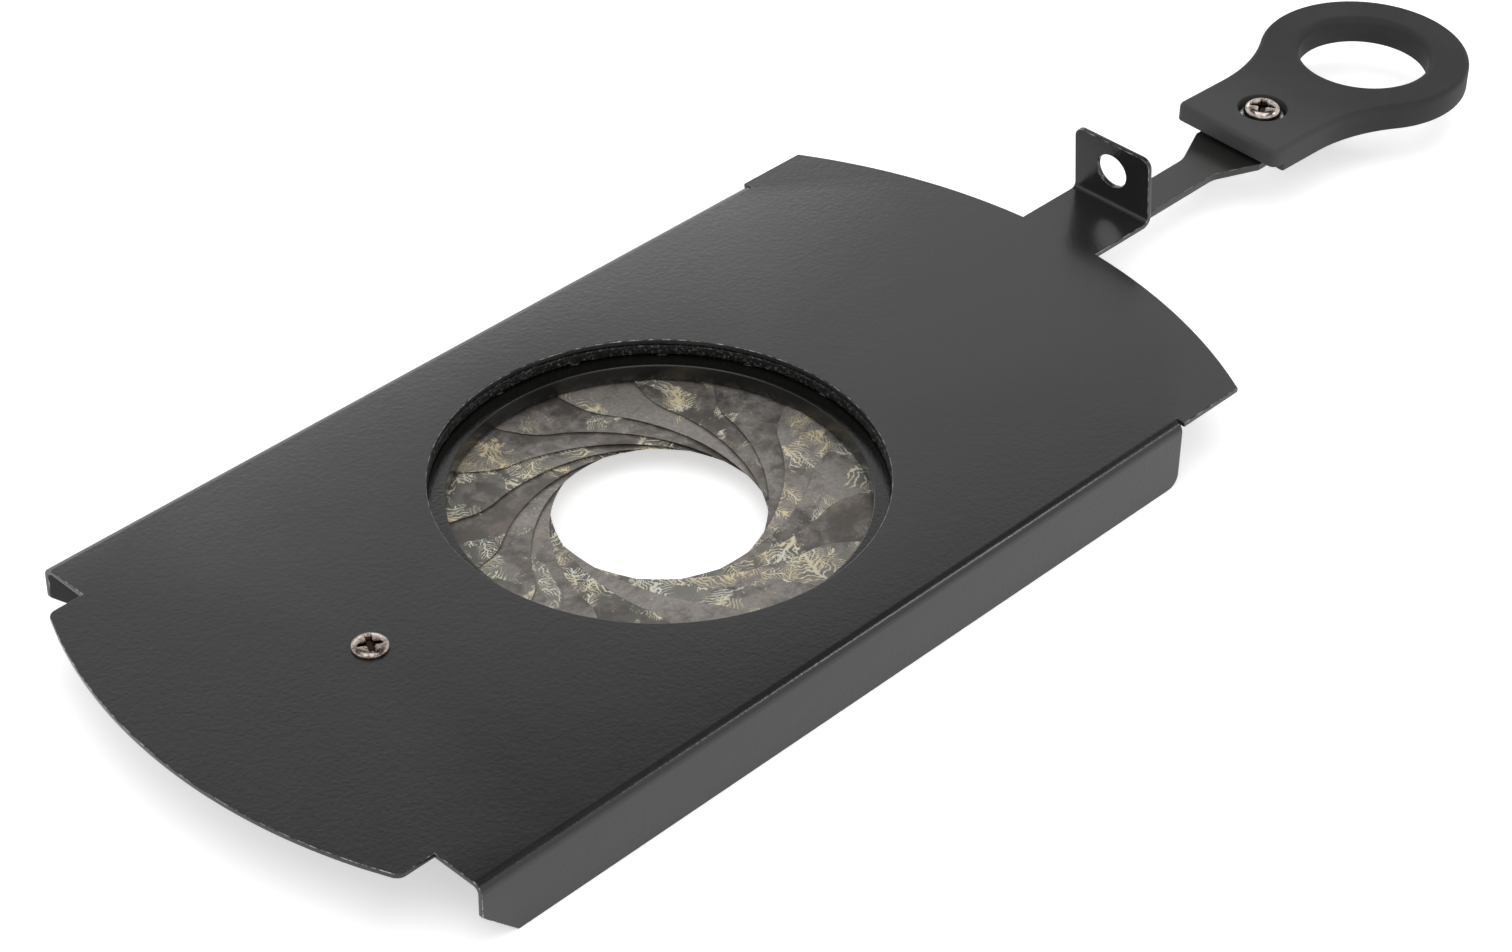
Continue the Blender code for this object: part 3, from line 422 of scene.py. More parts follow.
    def build(self, name: str, datum: Datum, material: bpy.types.Material,
              smooth_below: float) -> bpy.types.Object:
        """Makes the mesh object, at the origin, with its place in its mesh.

        Args:
            name: Name of the piece.
            datum: Turns millimetres into the frame's metres.
            material: Material of the whole piece.
            smooth_below: Edges flatter than this many degrees are shaded smooth.

        Returns:
            The new object.
        """
        points = datum.place(np.vstack(self.points))
        quads = np.vstack(self.quads) if self.quads else np.zeros((0, 4), int)
        triangles = np.vstack(self.triangles) if self.triangles else np.zeros((0, 3), int)
        mesh = bpy.data.meshes.new(name)
        mesh.vertices.add(len(points))
        mesh.vertices.foreach_set("co", points.astype(np.float32).ravel())
        corners = np.concatenate([quads.ravel(), triangles.ravel()])
        sizes = np.concatenate([np.full(len(quads), 4), np.full(len(triangles), 3)])
        mesh.loops.add(len(corners))
        mesh.loops.foreach_set("vertex_index", corners.astype(np.int32))
        mesh.polygons.add(len(sizes))
        starts = np.concatenate([[0], np.cumsum(sizes)[:-1]])
        mesh.polygons.foreach_set("loop_start", starts.astype(np.int32))
        mesh.update(calc_edges=True)
        mesh.validate()
        mesh.shade_smooth()
        mesh.set_sharp_from_angle(angle=math.radians(smooth_below))
        self._sharpen(mesh, len(points))
        # Mask of exposed edges and screw pits, for edge wear, painted edge highlights and painted shade in
        # the screws' crosses.
        layer = mesh.attributes.new("wear", "FLOAT", "POINT")
        layer.data.foreach_set("value", np.concatenate(self.wear).astype(np.float32))
        mesh.materials.append(material)
        made = bpy.data.objects.new(name, mesh)
        bpy.context.scene.collection.objects.link(made)
        return made

    def _sharpen(self, mesh: bpy.types.Mesh, count: int) -> None:
        """Adds the creased rows to the mesh's sharp edges."""
        if not self.creases:
            return
        pairs = np.zeros(len(mesh.edges) * 2, np.int32)
        mesh.edges.foreach_get("vertices", pairs)
        pairs = np.sort(pairs.reshape(-1, 2).astype(np.int64), 1)
        wanted = np.sort(np.vstack(self.creases), 1)
        hit = np.isin(pairs[:, 0] * count + pairs[:, 1], wanted[:, 0] * count + wanted[:, 1])
        layer = mesh.attributes.get("sharp_edge") or mesh.attributes.new("sharp_edge", "BOOLEAN", "EDGE")
        values = np.zeros(len(mesh.edges), bool)
        layer.data.foreach_get("value", values)
        layer.data.foreach_set("value", values | hit)


class Recipe:
    """Short calls for building the nodes of a material or of the world."""

    def __init__(self, owner: bpy.types.Material | bpy.types.World, shader: str) -> None:
        """Starts on the owner's node tree, at the shader of that name."""
        owner.use_nodes = True
        self.owner = owner
        self.nodes, self.links = owner.node_tree.nodes, owner.node_tree.links
        self.shader = self.nodes[shader]
        self.coordinates: Any = None

    @classmethod
    def material(cls, name: str) -> "Recipe":
        """Starts a new material, whose textures lie in object coordinates."""
        recipe = cls(bpy.data.materials.new(name), "Principled BSDF")
        recipe.coordinates = recipe.node("TexCoord", "Object")
        return recipe

    def put(self, socket: Any, value: Any) -> None:
        """Links an output to an input, or writes a plain value into it."""
        if isinstance(value, bpy.types.NodeSocket):
            self.links.new(value, socket)
        elif isinstance(value, tuple) and len(value) == 3 and len(socket.default_value) == 4:
            socket.default_value = (*value, 1.0)
        else:
            socket.default_value = value

    def node(self, kind: str, output: int | str, *values: Any, **named: Any) -> Any:
        """Adds a node and returns one of its outputs.

        Args:
            kind: Type of the node, after "ShaderNode".
            output: Name or number of the output.
            values: Values or outputs for the first inputs, in their order.
            named: The node's own settings in lower case, and inputs by their capitalised names,
                with underscores for spaces.

        Returns:
            The output.
        """
        made = self.nodes.new("ShaderNode" + kind)
        for name, value in named.items():
            if name[0].islower():
                setattr(made, name, value)
        for socket, value in zip(made.inputs, values):
            self.put(socket, value)
        for name, value in named.items():
            if name[0].isupper():
                self.put(made.inputs[name.replace("_", " ")], value)
        return made.outputs[output]

    def shift(self, offset: Sequence[float], stretch: Sequence[float] = (1.0, 1.0, 1.0)) -> Any:
        """Object coordinates moved and stretched."""
        return self.node("Mapping", "Vector", Vector=self.coordinates, Location=offset, Scale=stretch)

    def noise(self, scale: float, detail: float = 2.0, rough: float = 0.5, twist: float = 0.0) -> Any:
        """Noise with a number of features per metre; twist distorts it."""
        return self.node("TexNoise", "Fac", Vector=self.coordinates, Scale=scale, Detail=detail,
                         Roughness=rough, Distortion=twist)

    def span(self, value: Any, low: float, high: float, to_low: float = 0.0,
             to_high: float = 1.0) -> Any:
        """Value carried from one range to another, smoothly and clamped."""
        return self.node("MapRange", "Result", interpolation_type="SMOOTHSTEP", Value=value,
                         From_Min=low, From_Max=high, To_Min=to_low, To_Max=to_high)

    def factor(self, share: Any, full: float) -> Any:
        """One where a share is zero, and another number where the share is one."""
        return self.span(share, 0.0, 1.0, 1.0, full)

    def math(self, operation: str, first: Any, second: Any = 0.0) -> Any:
        """One sum on two values."""
        return self.node("Math", 0, first, second, operation=operation)

    def times(self, first: Any, second: Any) -> Any:
        """Product of two values."""
        return self.math("MULTIPLY", first, second)

    def plus(self, first: Any, second: Any) -> Any:
        """Sum of two values."""
        return self.math("ADD", first, second)

    def weighed(self, first: Any, share: float, second: Any) -> Any:
        """Mean of two values, in which the first has a share and the second has the rest."""
        return self.plus(self.times(first, share), self.times(second, 1.0 - share))

    def mix(self, share: Any, first: Any, second: Any) -> Any:
        """Colour between two colours."""
        made = self.node("Mix", 2, data_type="RGBA", Factor=share).node
        self.put(made.inputs[6], first)
        self.put(made.inputs[7], second)
        return made.outputs[2]

    def wear(self, low: float, high: float) -> Any:
        """The piece's own mask of exposed edges and screw pits, from one value of it to another; the looks
        use it for edge wear, painted edge highlights and painted shade in the screws' crosses.
        """
        return self.span(self.node("Attribute", "Fac", attribute_name="wear"), low, high)

    def edge_wear_and_highlight(self, scale: float, patchy: float, worn: float) -> Any:
        """Patches along exposed edges, from a noise and the edge mask; partly wear, partly painted
        highlight.
        """
        return self.times(self.span(self.noise(scale, 4.0, 0.75), patchy, 0.66), self.wear(worn, 0.95))

    def bump(self, height: Any, strength: float, depth: float, **under: Any) -> Any:
        """Normal from a height, with a depth in metres, over another normal if one is given."""
        return self.node("Bump", "Normal", Strength=strength, Distance=depth, Height=height, **under)

    def finish(self, **values: Any) -> Any:
        """Sets sockets of the shader, with underscores for the spaces in their names."""
        for name, value in values.items():
            self.put(self.shader.inputs[name.replace("_", " ")], value)
        return self.owner


@dataclass(frozen=True)
class PowderCoat:
    """Fine-textured semi-gloss black coat, thinner where edges are rubbed, and brighter there with bare
    metal and painted highlights.
    """

    dark: Colour = (0.0125, 0.0125, 0.0127)
    light: Colour = (0.0195, 0.0195, 0.0197)
    bare_and_highlight: Colour = (0.42, 0.41, 0.40)
    gloss: tuple[float, float] = (0.15, 0.24)
    texture: float = 0.42

    def material(self) -> bpy.types.Material:
        """Cloudy black, an orange-peel bump of two sizes and bare specks along rubbed edges, which also
        stand for painted edge highlights.
        """
        r = Recipe.material("powder_coat")
        cloud, specks = r.noise(38.0, 4.0, 0.6), r.noise(900.0, 3.0, 0.6)
        # Edge mask: partly rubbed bare metal, partly painted highlight along the sheet's edges.
        edge_wear_and_highlight = r.edge_wear_and_highlight(520.0, 0.44, 0.50)
        base = r.mix(r.weighed(cloud, 0.45, specks), self.dark, self.light)
        peel = r.bump(r.noise(1300.0), self.texture, 0.00006)
        return r.finish(Base_Color=r.mix(edge_wear_and_highlight, base, self.bare_and_highlight), Metallic=r.times(edge_wear_and_highlight, 0.9),
                        Roughness=r.span(r.plus(cloud, r.times(specks, 0.25)), 0.35, 0.9, *self.gloss),
                        Normal=r.bump(r.noise(220.0), 0.10, 0.00010, Normal=peel))


@dataclass(frozen=True)
class RoughCoat:
    """Coarse matt black coat whose grains carry painted glints."""

    dark: Colour = (0.0015, 0.0015, 0.0015)
    light: Colour = (0.130, 0.130, 0.125)

    def material(self) -> bpy.types.Material:
        """Grains about half a millimetre wide, with painted glints on their tops."""
        r = Recipe.material("rough_black")
        grain = r.noise(1700.0, 3.0, 0.75)
        lumps = r.node("TexVoronoi", "Distance", Vector=r.coordinates, Scale=1200.0)
        # Painted highlight: the grains' tops are coloured light to stand for their glints.
        return r.finish(Base_Color=r.mix(r.span(grain, 0.51, 0.69), self.dark, self.light),
                        Roughness=r.span(grain, 0.3, 0.75, 0.62, 0.26), Specular_IOR_Level=0.35,
                        Normal=r.bump(r.plus(grain, r.times(lumps, 0.6)), 0.75, 0.00016))


@dataclass(frozen=True)
class Blackened:
    """Black satin steel of the lever, with painted shade round the iris, where its shelf lies in the
    recess under the cover ring.
    """

    middle: float
    dark: Colour = (0.016, 0.016, 0.0155)
    light: Colour = (0.032, 0.0315, 0.030)
    bare_and_highlight: Colour = (0.22, 0.215, 0.19)
    iris_shade: Colour = (0.0035, 0.0036, 0.0028)
    iris_shade_reach: tuple[float, float] = (0.041, 0.050)

    def material(self) -> bpy.types.Material:
        """Faint clouds, fine tooth, rubbed edges paler with wear and painted highlight, and painted shade
        by the distance from the iris.
        """
        r = Recipe.material("blackened_steel")
        cloud = r.noise(70.0, 4.0, 0.6)
        plan = r.shift((-self.middle, 0.0, 0.0), (1.0, 1.0, 0.0))
        # Painted shade: the ring is darkened within about 41 to 50 mm of the iris's axis, where it lies in
        # the recess under the cover ring.
        iris_shaded = r.span(r.node("VectorMath", "Value", plan, operation="LENGTH"), *self.iris_shade_reach, 1.0, 0.0)
        speckle = r.span(r.noise(2200.0, 3.0, 0.7), 0.55, 0.75)
        coat = r.mix(r.weighed(cloud, 0.7, speckle), self.dark, self.light)
        # Edge mask: partly wear, partly painted highlight, weaker where the painted shade lies.
        edge_wear_and_highlight = r.times(r.edge_wear_and_highlight(420.0, 0.42, 0.45), r.factor(iris_shaded, 0.12))
        tooth = r.times(r.noise(1500.0, 3.0, 0.6), r.factor(iris_shaded, 3.0))
        base = r.mix(r.times(iris_shaded, 0.92), coat, self.iris_shade)
        return r.finish(Base_Color=r.mix(edge_wear_and_highlight, base, self.bare_and_highlight), Metallic=r.times(edge_wear_and_highlight, 0.8),
                        Roughness=r.times(r.span(cloud, 0.3, 0.75, 0.27, 0.38), r.factor(iris_shaded, 0.45)),
                        Normal=r.bump(tooth, 0.32, 0.00006))


@dataclass(frozen=True)
class BladeSteel:
    """Heat-stained spring steel with frost-like crystals, different on each blade."""

    number: int
    dark: Colour = (0.100, 0.091, 0.081)
    light: Colour = (0.340, 0.313, 0.290)
    rust: Colour = (0.290, 0.228, 0.198)
    veil: Colour = (0.255, 0.255, 0.225)
    frost: Colour = (0.66, 0.66, 0.56)
    straw: Colour = (0.68, 0.58, 0.36)
    lift: tuple[float, float] = (-0.10, 0.10)
    stain: tuple[float, float] = (0.1, 0.75)
    reach: tuple[float, float] = (0.46, 0.58)
    veiled: tuple[float, float] = (0.0, 0.65)

    def material(self) -> bpy.types.Material:
        """Clouded grey-brown sheet with patches of fern-like pale crystals and fine specks."""
        r = Recipe.material(f"blade_steel_{self.number:02d}")
        draw = np.random.default_rng(100 + self.number)
        r.coordinates = r.shift(tuple(float(v) for v in draw.uniform(-0.4, 0.4, 3)))
        ranges = (self.lift, self.stain, self.reach, self.veiled)
        lift, stain, reach, veiled = (float(draw.uniform(*ends)) for ends in ranges)
        broad, mottle = r.noise(75.0, 3.0, 0.6, 0.4), r.noise(420.0, 5.0, 0.7, 0.6)
        tone = r.span(r.weighed(broad, 0.55, mottle), 0.38 + lift, 0.62 + lift)
        base = r.mix(tone, self.dark, self.light)
        base = r.mix(r.span(r.noise(120.0, 3.0, 0.6, 0.8), 0.5, 0.72, 0.0, stain), base, self.rust)
        base = r.mix(r.span(r.noise(1500.0, 4.0, 0.7), 0.35, 0.65, 0.0, 0.35), base, self.dark)
        fern = r.math("MAXIMUM", self.ferns(r, 110.0, 850.0), self.ferns(r, 240.0, 1500.0))
        patch = r.span(r.noise(45.0, 5.0, 0.62, 0.6), reach, reach + 0.03)
        crystals = r.times(fern, patch)
        dusted = r.times(r.span(r.noise(1700.0, 2.0, 0.6), 0.66, 0.72), r.span(r.noise(90.0), 0.45, 0.60))
        pale = r.math("MAXIMUM", crystals, r.times(dusted, 0.7))
        base = r.mix(r.times(patch, veiled), base, self.veil)
        hue = r.mix(r.span(broad, 0.35, 0.65), self.frost, self.straw)
        return r.finish(Base_Color=r.mix(pale, base, hue), Metallic=r.span(pale, 0.0, 1.0, 0.50, 0.25),
                        Roughness=r.span(mottle, 0.3, 0.7, 0.42, 0.62),
                        Normal=r.bump(r.plus(r.times(mottle, 0.5), crystals), 0.30, 0.00005))

    def ferns(self, r: Recipe, cells: float, branches: float) -> Any:
        """Fern-shaped crystals, one in each cell.

        With u along its stem and v across it, a crystal's branches are thin bands of u + 0.9 |v|,
        bent by a noise, so they leave the stem on both sides at a slant.

        Args:
            r: Recipe of the blade's material.
            cells: Cells per metre.
            branches: Branches per metre.

        Returns:
            One on crystals and zero between them.
        """
        ripple = r.node("TexNoise", "Color", Vector=r.coordinates, Scale=cells * 2.2)
        small = r.node("VectorMath", 0, ripple, operation="SCALE", Scale=0.5 / cells)
        bent = r.node("VectorMath", 0, r.coordinates, small, operation="ADD")
        heart = r.node("TexVoronoi", "Position", Vector=bent, Scale=cells)
        chance = r.node("SeparateXYZ", 0, heart.node.outputs["Color"])
        inside = r.node("VectorMath", 0, bent, heart, operation="SUBTRACT")
        turned = r.node("VectorRotate", 0, rotation_type="Z_AXIS", Vector=inside,
                        Angle=r.times(chance, 2 * math.pi))
        along = r.node("SeparateXYZ", 0, turned)
        across = r.math("ABSOLUTE", along.node.outputs[1])
        waver = r.times(r.noise(branches * 0.7, 2.0, 0.6), 1.6)
        phase = r.plus(r.times(r.plus(along, r.times(across, 0.9)), branches), waver)
        band = r.math("ABSOLUTE", r.math("SUBTRACT", r.math("FRACT", phase), 0.5))
        breadth = r.times(across, cells)
        leaf = r.times(r.span(band, 0.10, 0.16, 1.0, 0.0), r.span(breadth, 0.22, 0.50, 1.0, 0.0))
        stem = r.span(breadth, 0.015, 0.05, 1.0, 0.0)
        return r.times(r.math("MAXIMUM", leaf, stem), r.span(chance.node.outputs[1], 0.25, 0.45))


@dataclass(frozen=True)
class Plated:
    """Bright plated steel of the screws, washers and nuts."""

    name: str
    colour: Colour
    tarnish: Colour
    # Colour of the painted shade in a screw's cross.
    recess: Colour
    roughness: float

    def material(self) -> bpy.types.Material:
        """Cloudy plating with fine tarnish specks and dents, and painted shade in the screws' cross
        recesses.
        """
        r = Recipe.material(self.name)
        clean = r.mix(r.span(r.noise(700.0, 4.0, 0.7), 0.42, 0.66), self.colour, self.tarnish)
        # Painted shade: the recess colour fills the screws' crosses by the pit mask; on the zinc washers
        # it gives their rounded edges a slightly darker tone.
        return r.finish(Base_Color=r.mix(r.wear(0.20, 0.62), clean, self.recess), Metallic=1.0,
                        Roughness=r.span(r.noise(1600.0, 3.0, 0.6), 0.3, 0.7, self.roughness * 0.75,
                                         self.roughness * 1.5),
                        Normal=r.bump(r.noise(1400.0, 3.0, 0.6), 0.10, 0.00008))


@dataclass(frozen=True)
class SoftTouch:
    """Matt soft-touch moulding of the handle, with painted shade on the finger ring."""

    middle: float
    dark: Colour = (0.042, 0.042, 0.0423)
    light: Colour = (0.058, 0.058, 0.0583)
    ring_shade: Colour = (0.0235, 0.0235, 0.0238)
    ring_shade_from: tuple[float, float] = (0.160, 0.186)

    def material(self) -> bpy.types.Material:
        """Dark grey with a fine spark-eroded grain, faint smudges and painted shade on the ring."""
        r = Recipe.material("soft_touch")
        smudge = r.noise(55.0, 4.0, 0.6)
        # Painted shade: the finger ring, past about 160 to 186 mm along the arm from the iris, is coloured
        # darker.
        ring = r.span(r.node("SeparateXYZ", "X", r.shift((-self.middle, 0.0, 0.0))), *self.ring_shade_from)
        return r.finish(Base_Color=r.mix(ring, r.mix(smudge, self.dark, self.light), self.ring_shade),
                        Roughness=r.span(smudge, 0.3, 0.7, 0.62, 0.74), Specular_IOR_Level=0.34,
                        Normal=r.bump(r.noise(2600.0, 3.0, 0.6), 0.30, 0.00006))


@dataclass(frozen=True)
class Look:
    """A material and the record's slot that it fills."""

    material: bpy.types.Material
    slot: Slot


@dataclass(frozen=True)
class Looks:
    """One look for each finish."""

    coat: Look
    rough: Look
    lever: Look
    nickel: Look
    stained: Look
    zinc: Look
    handle: Look

    @classmethod
    def mixed(cls, datum: Datum) -> "Looks":
        """Makes every look but the blades' own."""
        nickel = Plated("nickel", (0.55, 0.49, 0.445), (0.25, 0.20, 0.165), (0.013, 0.007, 0.005), 0.15)
        stained = Plated("stained_nickel", (0.47, 0.41, 0.37), (0.13, 0.085, 0.065),
                         (0.030, 0.016, 0.010), 0.20)
        zinc = Plated("zinc", (0.86, 0.86, 0.85), (0.60, 0.59, 0.57), (0.78, 0.78, 0.77), 0.34)
        finishes = ((PowderCoat(), Slot.COAT), (RoughCoat(), Slot.ROUGH), (Blackened(datum.x), Slot.LEVER),
                    (nickel, Slot.PLATED), (stained, Slot.PLATED), (zinc, Slot.PLATED),
                    (SoftTouch(datum.x), Slot.HANDLE))
        return cls(*(Look(finish.material(), slot) for finish, slot in finishes))


def add(shell: Shell, name: str, datum: Datum, look: Look, body: Body | str, node: str,
        smooth_below: float = SMOOTH_BELOW) -> None:
    """Makes a piece, which rides on its body and stands for its node, and logs it.

    Args:
        shell: The piece's faces.
        name: Name of the piece.
        datum: Where the iris stands.
        look: Material and slot.
        body: Body that it moves with.
        node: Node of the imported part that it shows.
        smooth_below: Edges flatter than this many degrees are shaded smooth.
    """
    piece = shell.build(name, datum, look.material, smooth_below)
    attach(piece, body.value if isinstance(body, Body) else body)
    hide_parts(node)
    LOG.info("%s: %d faces", piece.name, len(piece.data.polygons))


@dataclass(frozen=True)
class Fastener:
    """A screw size: its cross-recess screw, stamped washer and hexagon nut.

    The cross is drawn for a head of one radius and scaled with the head.  Its arms, their ends
    and its heart each have a distance from the middle and the width of their sloping wall.
    """

    shank: float
    head: float
    washer: float
    flats: float
    nut_height: float
    cross: float = 25.0
    clearance: float = 0.3
    washer_thickness: float = 0.5
    pitch: float = 0.5
    thread_depth: float = 0.17
    runout: float = 0.35
    point: float = 0.2
    drawn_head: float = 3.2
    arms: tuple[float, float] = (0.60, 0.2)
    arm_ends: tuple[float, float] = (2.25, 0.5)
    heart: tuple[float, float] = (1.1, 0.3)
    band: float = 0.35
    shoulder: float = 0.38
    bow: float = 0.06
    nut_cone: float = 1.03
    nut_chamfer: float = 0.3

    def hole(self, centre: Sequence[float]) -> np.ndarray:
        """Clearance hole."""
        return hole(self.shank + self.clearance, 36, centre)

    def thread(self, shell: Shell, top: float, bottom: float, centre: np.ndarray) -> None:
        """Threaded rod whose radius is a triangle wave of height and angle, like a helix."""
        rows = max(8, int((top - bottom) / self.pitch * 6))
        height = np.linspace(top, bottom, rows + 1)[:, None]
        angle = np.linspace(0, 360, 24, endpoint=False)[None, :]
        wave = np.abs(((height / self.pitch - angle / 360) % 1.0) * 2 - 1)
        fade = np.clip(np.minimum(top - height, height - bottom) / self.runout, 0, 1)
        radius = self.shank * (1 - self.thread_depth * (1 - wave * fade))
        rings = [shell.row(level(polar(radius[i], angle[0], centre), float(height[i, 0])))
                 for i in range(rows + 1)]
        shell.skin(rings)
        shell.close(rings[0], centre, top, True)
        shell.close(rings[-1], centre, bottom - self.point, False)

    def screw(self, seat: float, end: float, height: float, recess: float,
              centre: np.ndarray) -> Shell:
        """Pan-head screw with a cross recess and a threaded shank.

        The head's top is a function of radius and angle: a crown that falls towards the rim,
        less a cross-shaped pit whose arms have sloping walls.  The pit's depth is kept in the edge and pit
        mask, which the plated look fills with painted shade.

        Args:
            seat: Height of the surface under the head.
            end: Lowest height of the shank.
            height: Height of the head.
            recess: Depth of the cross.
            centre: Plan position.

        Returns:
            The screw's shell.
        """
        shell = Shell()
        scale, rim = self.head / self.drawn_head, self.head
        band, shoulder = self.band * height, self.shoulder * rim
        radii = np.concatenate([np.linspace(0.04, 0.74 * rim, 36), np.linspace(0.76 * rim, rim, 14)])
        radii = radii[:, None]
        angle = np.linspace(0, 360, 160, endpoint=False)[None, :]
        out = np.clip((radii - (rim - shoulder)) / shoulder, 0, 1)
        crown = seat + band + (height - band) * np.sqrt(np.clip(1 - out ** 2, 0, 1))
        crown = crown - self.bow * (radii / rim) ** 2 * height
        x = np.abs(radii * np.cos(np.radians(angle - self.cross))) / scale
        y = np.abs(radii * np.sin(np.radians(angle - self.cross))) / scale
        pit = falling(np.minimum(x, y), *self.arms) * falling(np.maximum(x, y), *self.arm_ends)
        sunk = np.maximum(pit, falling(np.hypot(x, y), *self.heart))
        top = crown - recess * sunk
        rings = [shell.row(np.column_stack([polar(radii[i], angle[0], centre), top[i]]), sunk[i])
                 for i in range(len(radii))]
        sides = ((rim, seat + band * 0.5), (rim - 0.02, seat + 0.12), (rim - 0.14, seat),
                 (self.shank * 0.83, seat))
        rings += [shell.row(level(polar(radius, angle[0], centre), at)) for radius, at in sides]
        shell.skin(rings)
        shell.close(rings[0], centre, float(top[0].mean()), True)
        shell.close(rings[-1], centre, seat, False)
        self.thread(shell, seat - 0.01, end, centre)
        return shell

    def washer_shell(self, top: float, centre: np.ndarray) -> Shell:
        """Plain stamped washer."""
        shell = Shell()
        edge = square_edge(top, top - self.washer_thickness, 0.12, 0.05)
        shell.sheet(disc(self.washer, 64, centre), edge, [self.hole(centre)])
        return shell

    def nut_shell(self, top: float, centre: np.ndarray) -> Shell:
        """Hexagon nut: a hexagon's radius by angle, chamfered by a cone at both faces."""
        shell, chamfer = Shell(), self.nut_chamfer
        angle = np.linspace(0, 360, 96, endpoint=False)
        flat = np.zeros(len(angle))
        half = self.flats / 2
        hexagon = half / np.cos(np.radians((angle + 30) % 60 - 30))
        face = np.minimum(hexagon, half * self.nut_cone)
        drop = (hexagon - face) * math.tan(math.radians(30)) + 0.02
        bore = self.shank + self.clearance
        bottom = top - self.nut_height
        rows = [(bore + chamfer, top), (face, top), (hexagon, top - drop), (hexagon, bottom + drop),
                (face, bottom), (bore + chamfer, bottom), (bore, bottom + chamfer), (bore, top - chamfer)]
        rings = [shell.row(np.column_stack([polar(flat + radius, angle, centre), flat + height]))
                 for radius, height in rows]
        shell.skin([*rings, rings[0]])
        return shell


PLATE_SIZE = Fastener(1.5, 3.2, 3.5, 5.5, 2.4, 60.0)
HANDLE_SIZE = Fastener(1.85, 3.7, 4.4, 7.0, 3.0, 30.0)


@dataclass
class Fixings:
    """Centres of the three fixings of the cartridge, and the lugs round them."""

    near: float = 65.5
    side_x: float = 40.0
    side_y: float = 46.5
    lug: float = 5.2
    sheet: SheetSizes = field(default_factory=SheetSizes)
    levels: Levels = field(default_factory=Levels)

    def centres(self) -> dict[str, np.ndarray]:
        """Centre of each fixing by its name."""
        return {"near": np.array([-self.near, 0.0]),
                "right": np.array([self.side_x, -self.side_y]),
                "left": np.array([self.side_x, self.side_y])}

    def lug_spans(self, radius: float) -> list[tuple[float, float, np.ndarray]]:
        """Start angle, end angle and centre of each lug on a circle, anticlockwise."""
        side = math.degrees(math.asin(self.lug / radius))
        spans = []
        for centre in self.centres().values():
            middle = math.degrees(math.atan2(centre[1], centre[0])) % 360
            spans.append((middle - side, middle + side, centre))
        return sorted(spans, key=lambda span: span[0])

    def lugged(self, radius: float) -> np.ndarray:
        """Circle with the three lugs growing out of it."""
        spans = self.lug_spans(radius)
        pieces = []
        for i, (start, end, centre) in enumerate(spans):
            last = spans[i - 1][1] - (360 if i == 0 else 0)
            middle = (start + end) / 2
            pieces.append(arc(radius, last, start, max(4, round((start - last) / 2.5))))
            pieces.append(arc(self.lug, middle - 90, middle + 90, 20, centre))
        return np.vstack(pieces)


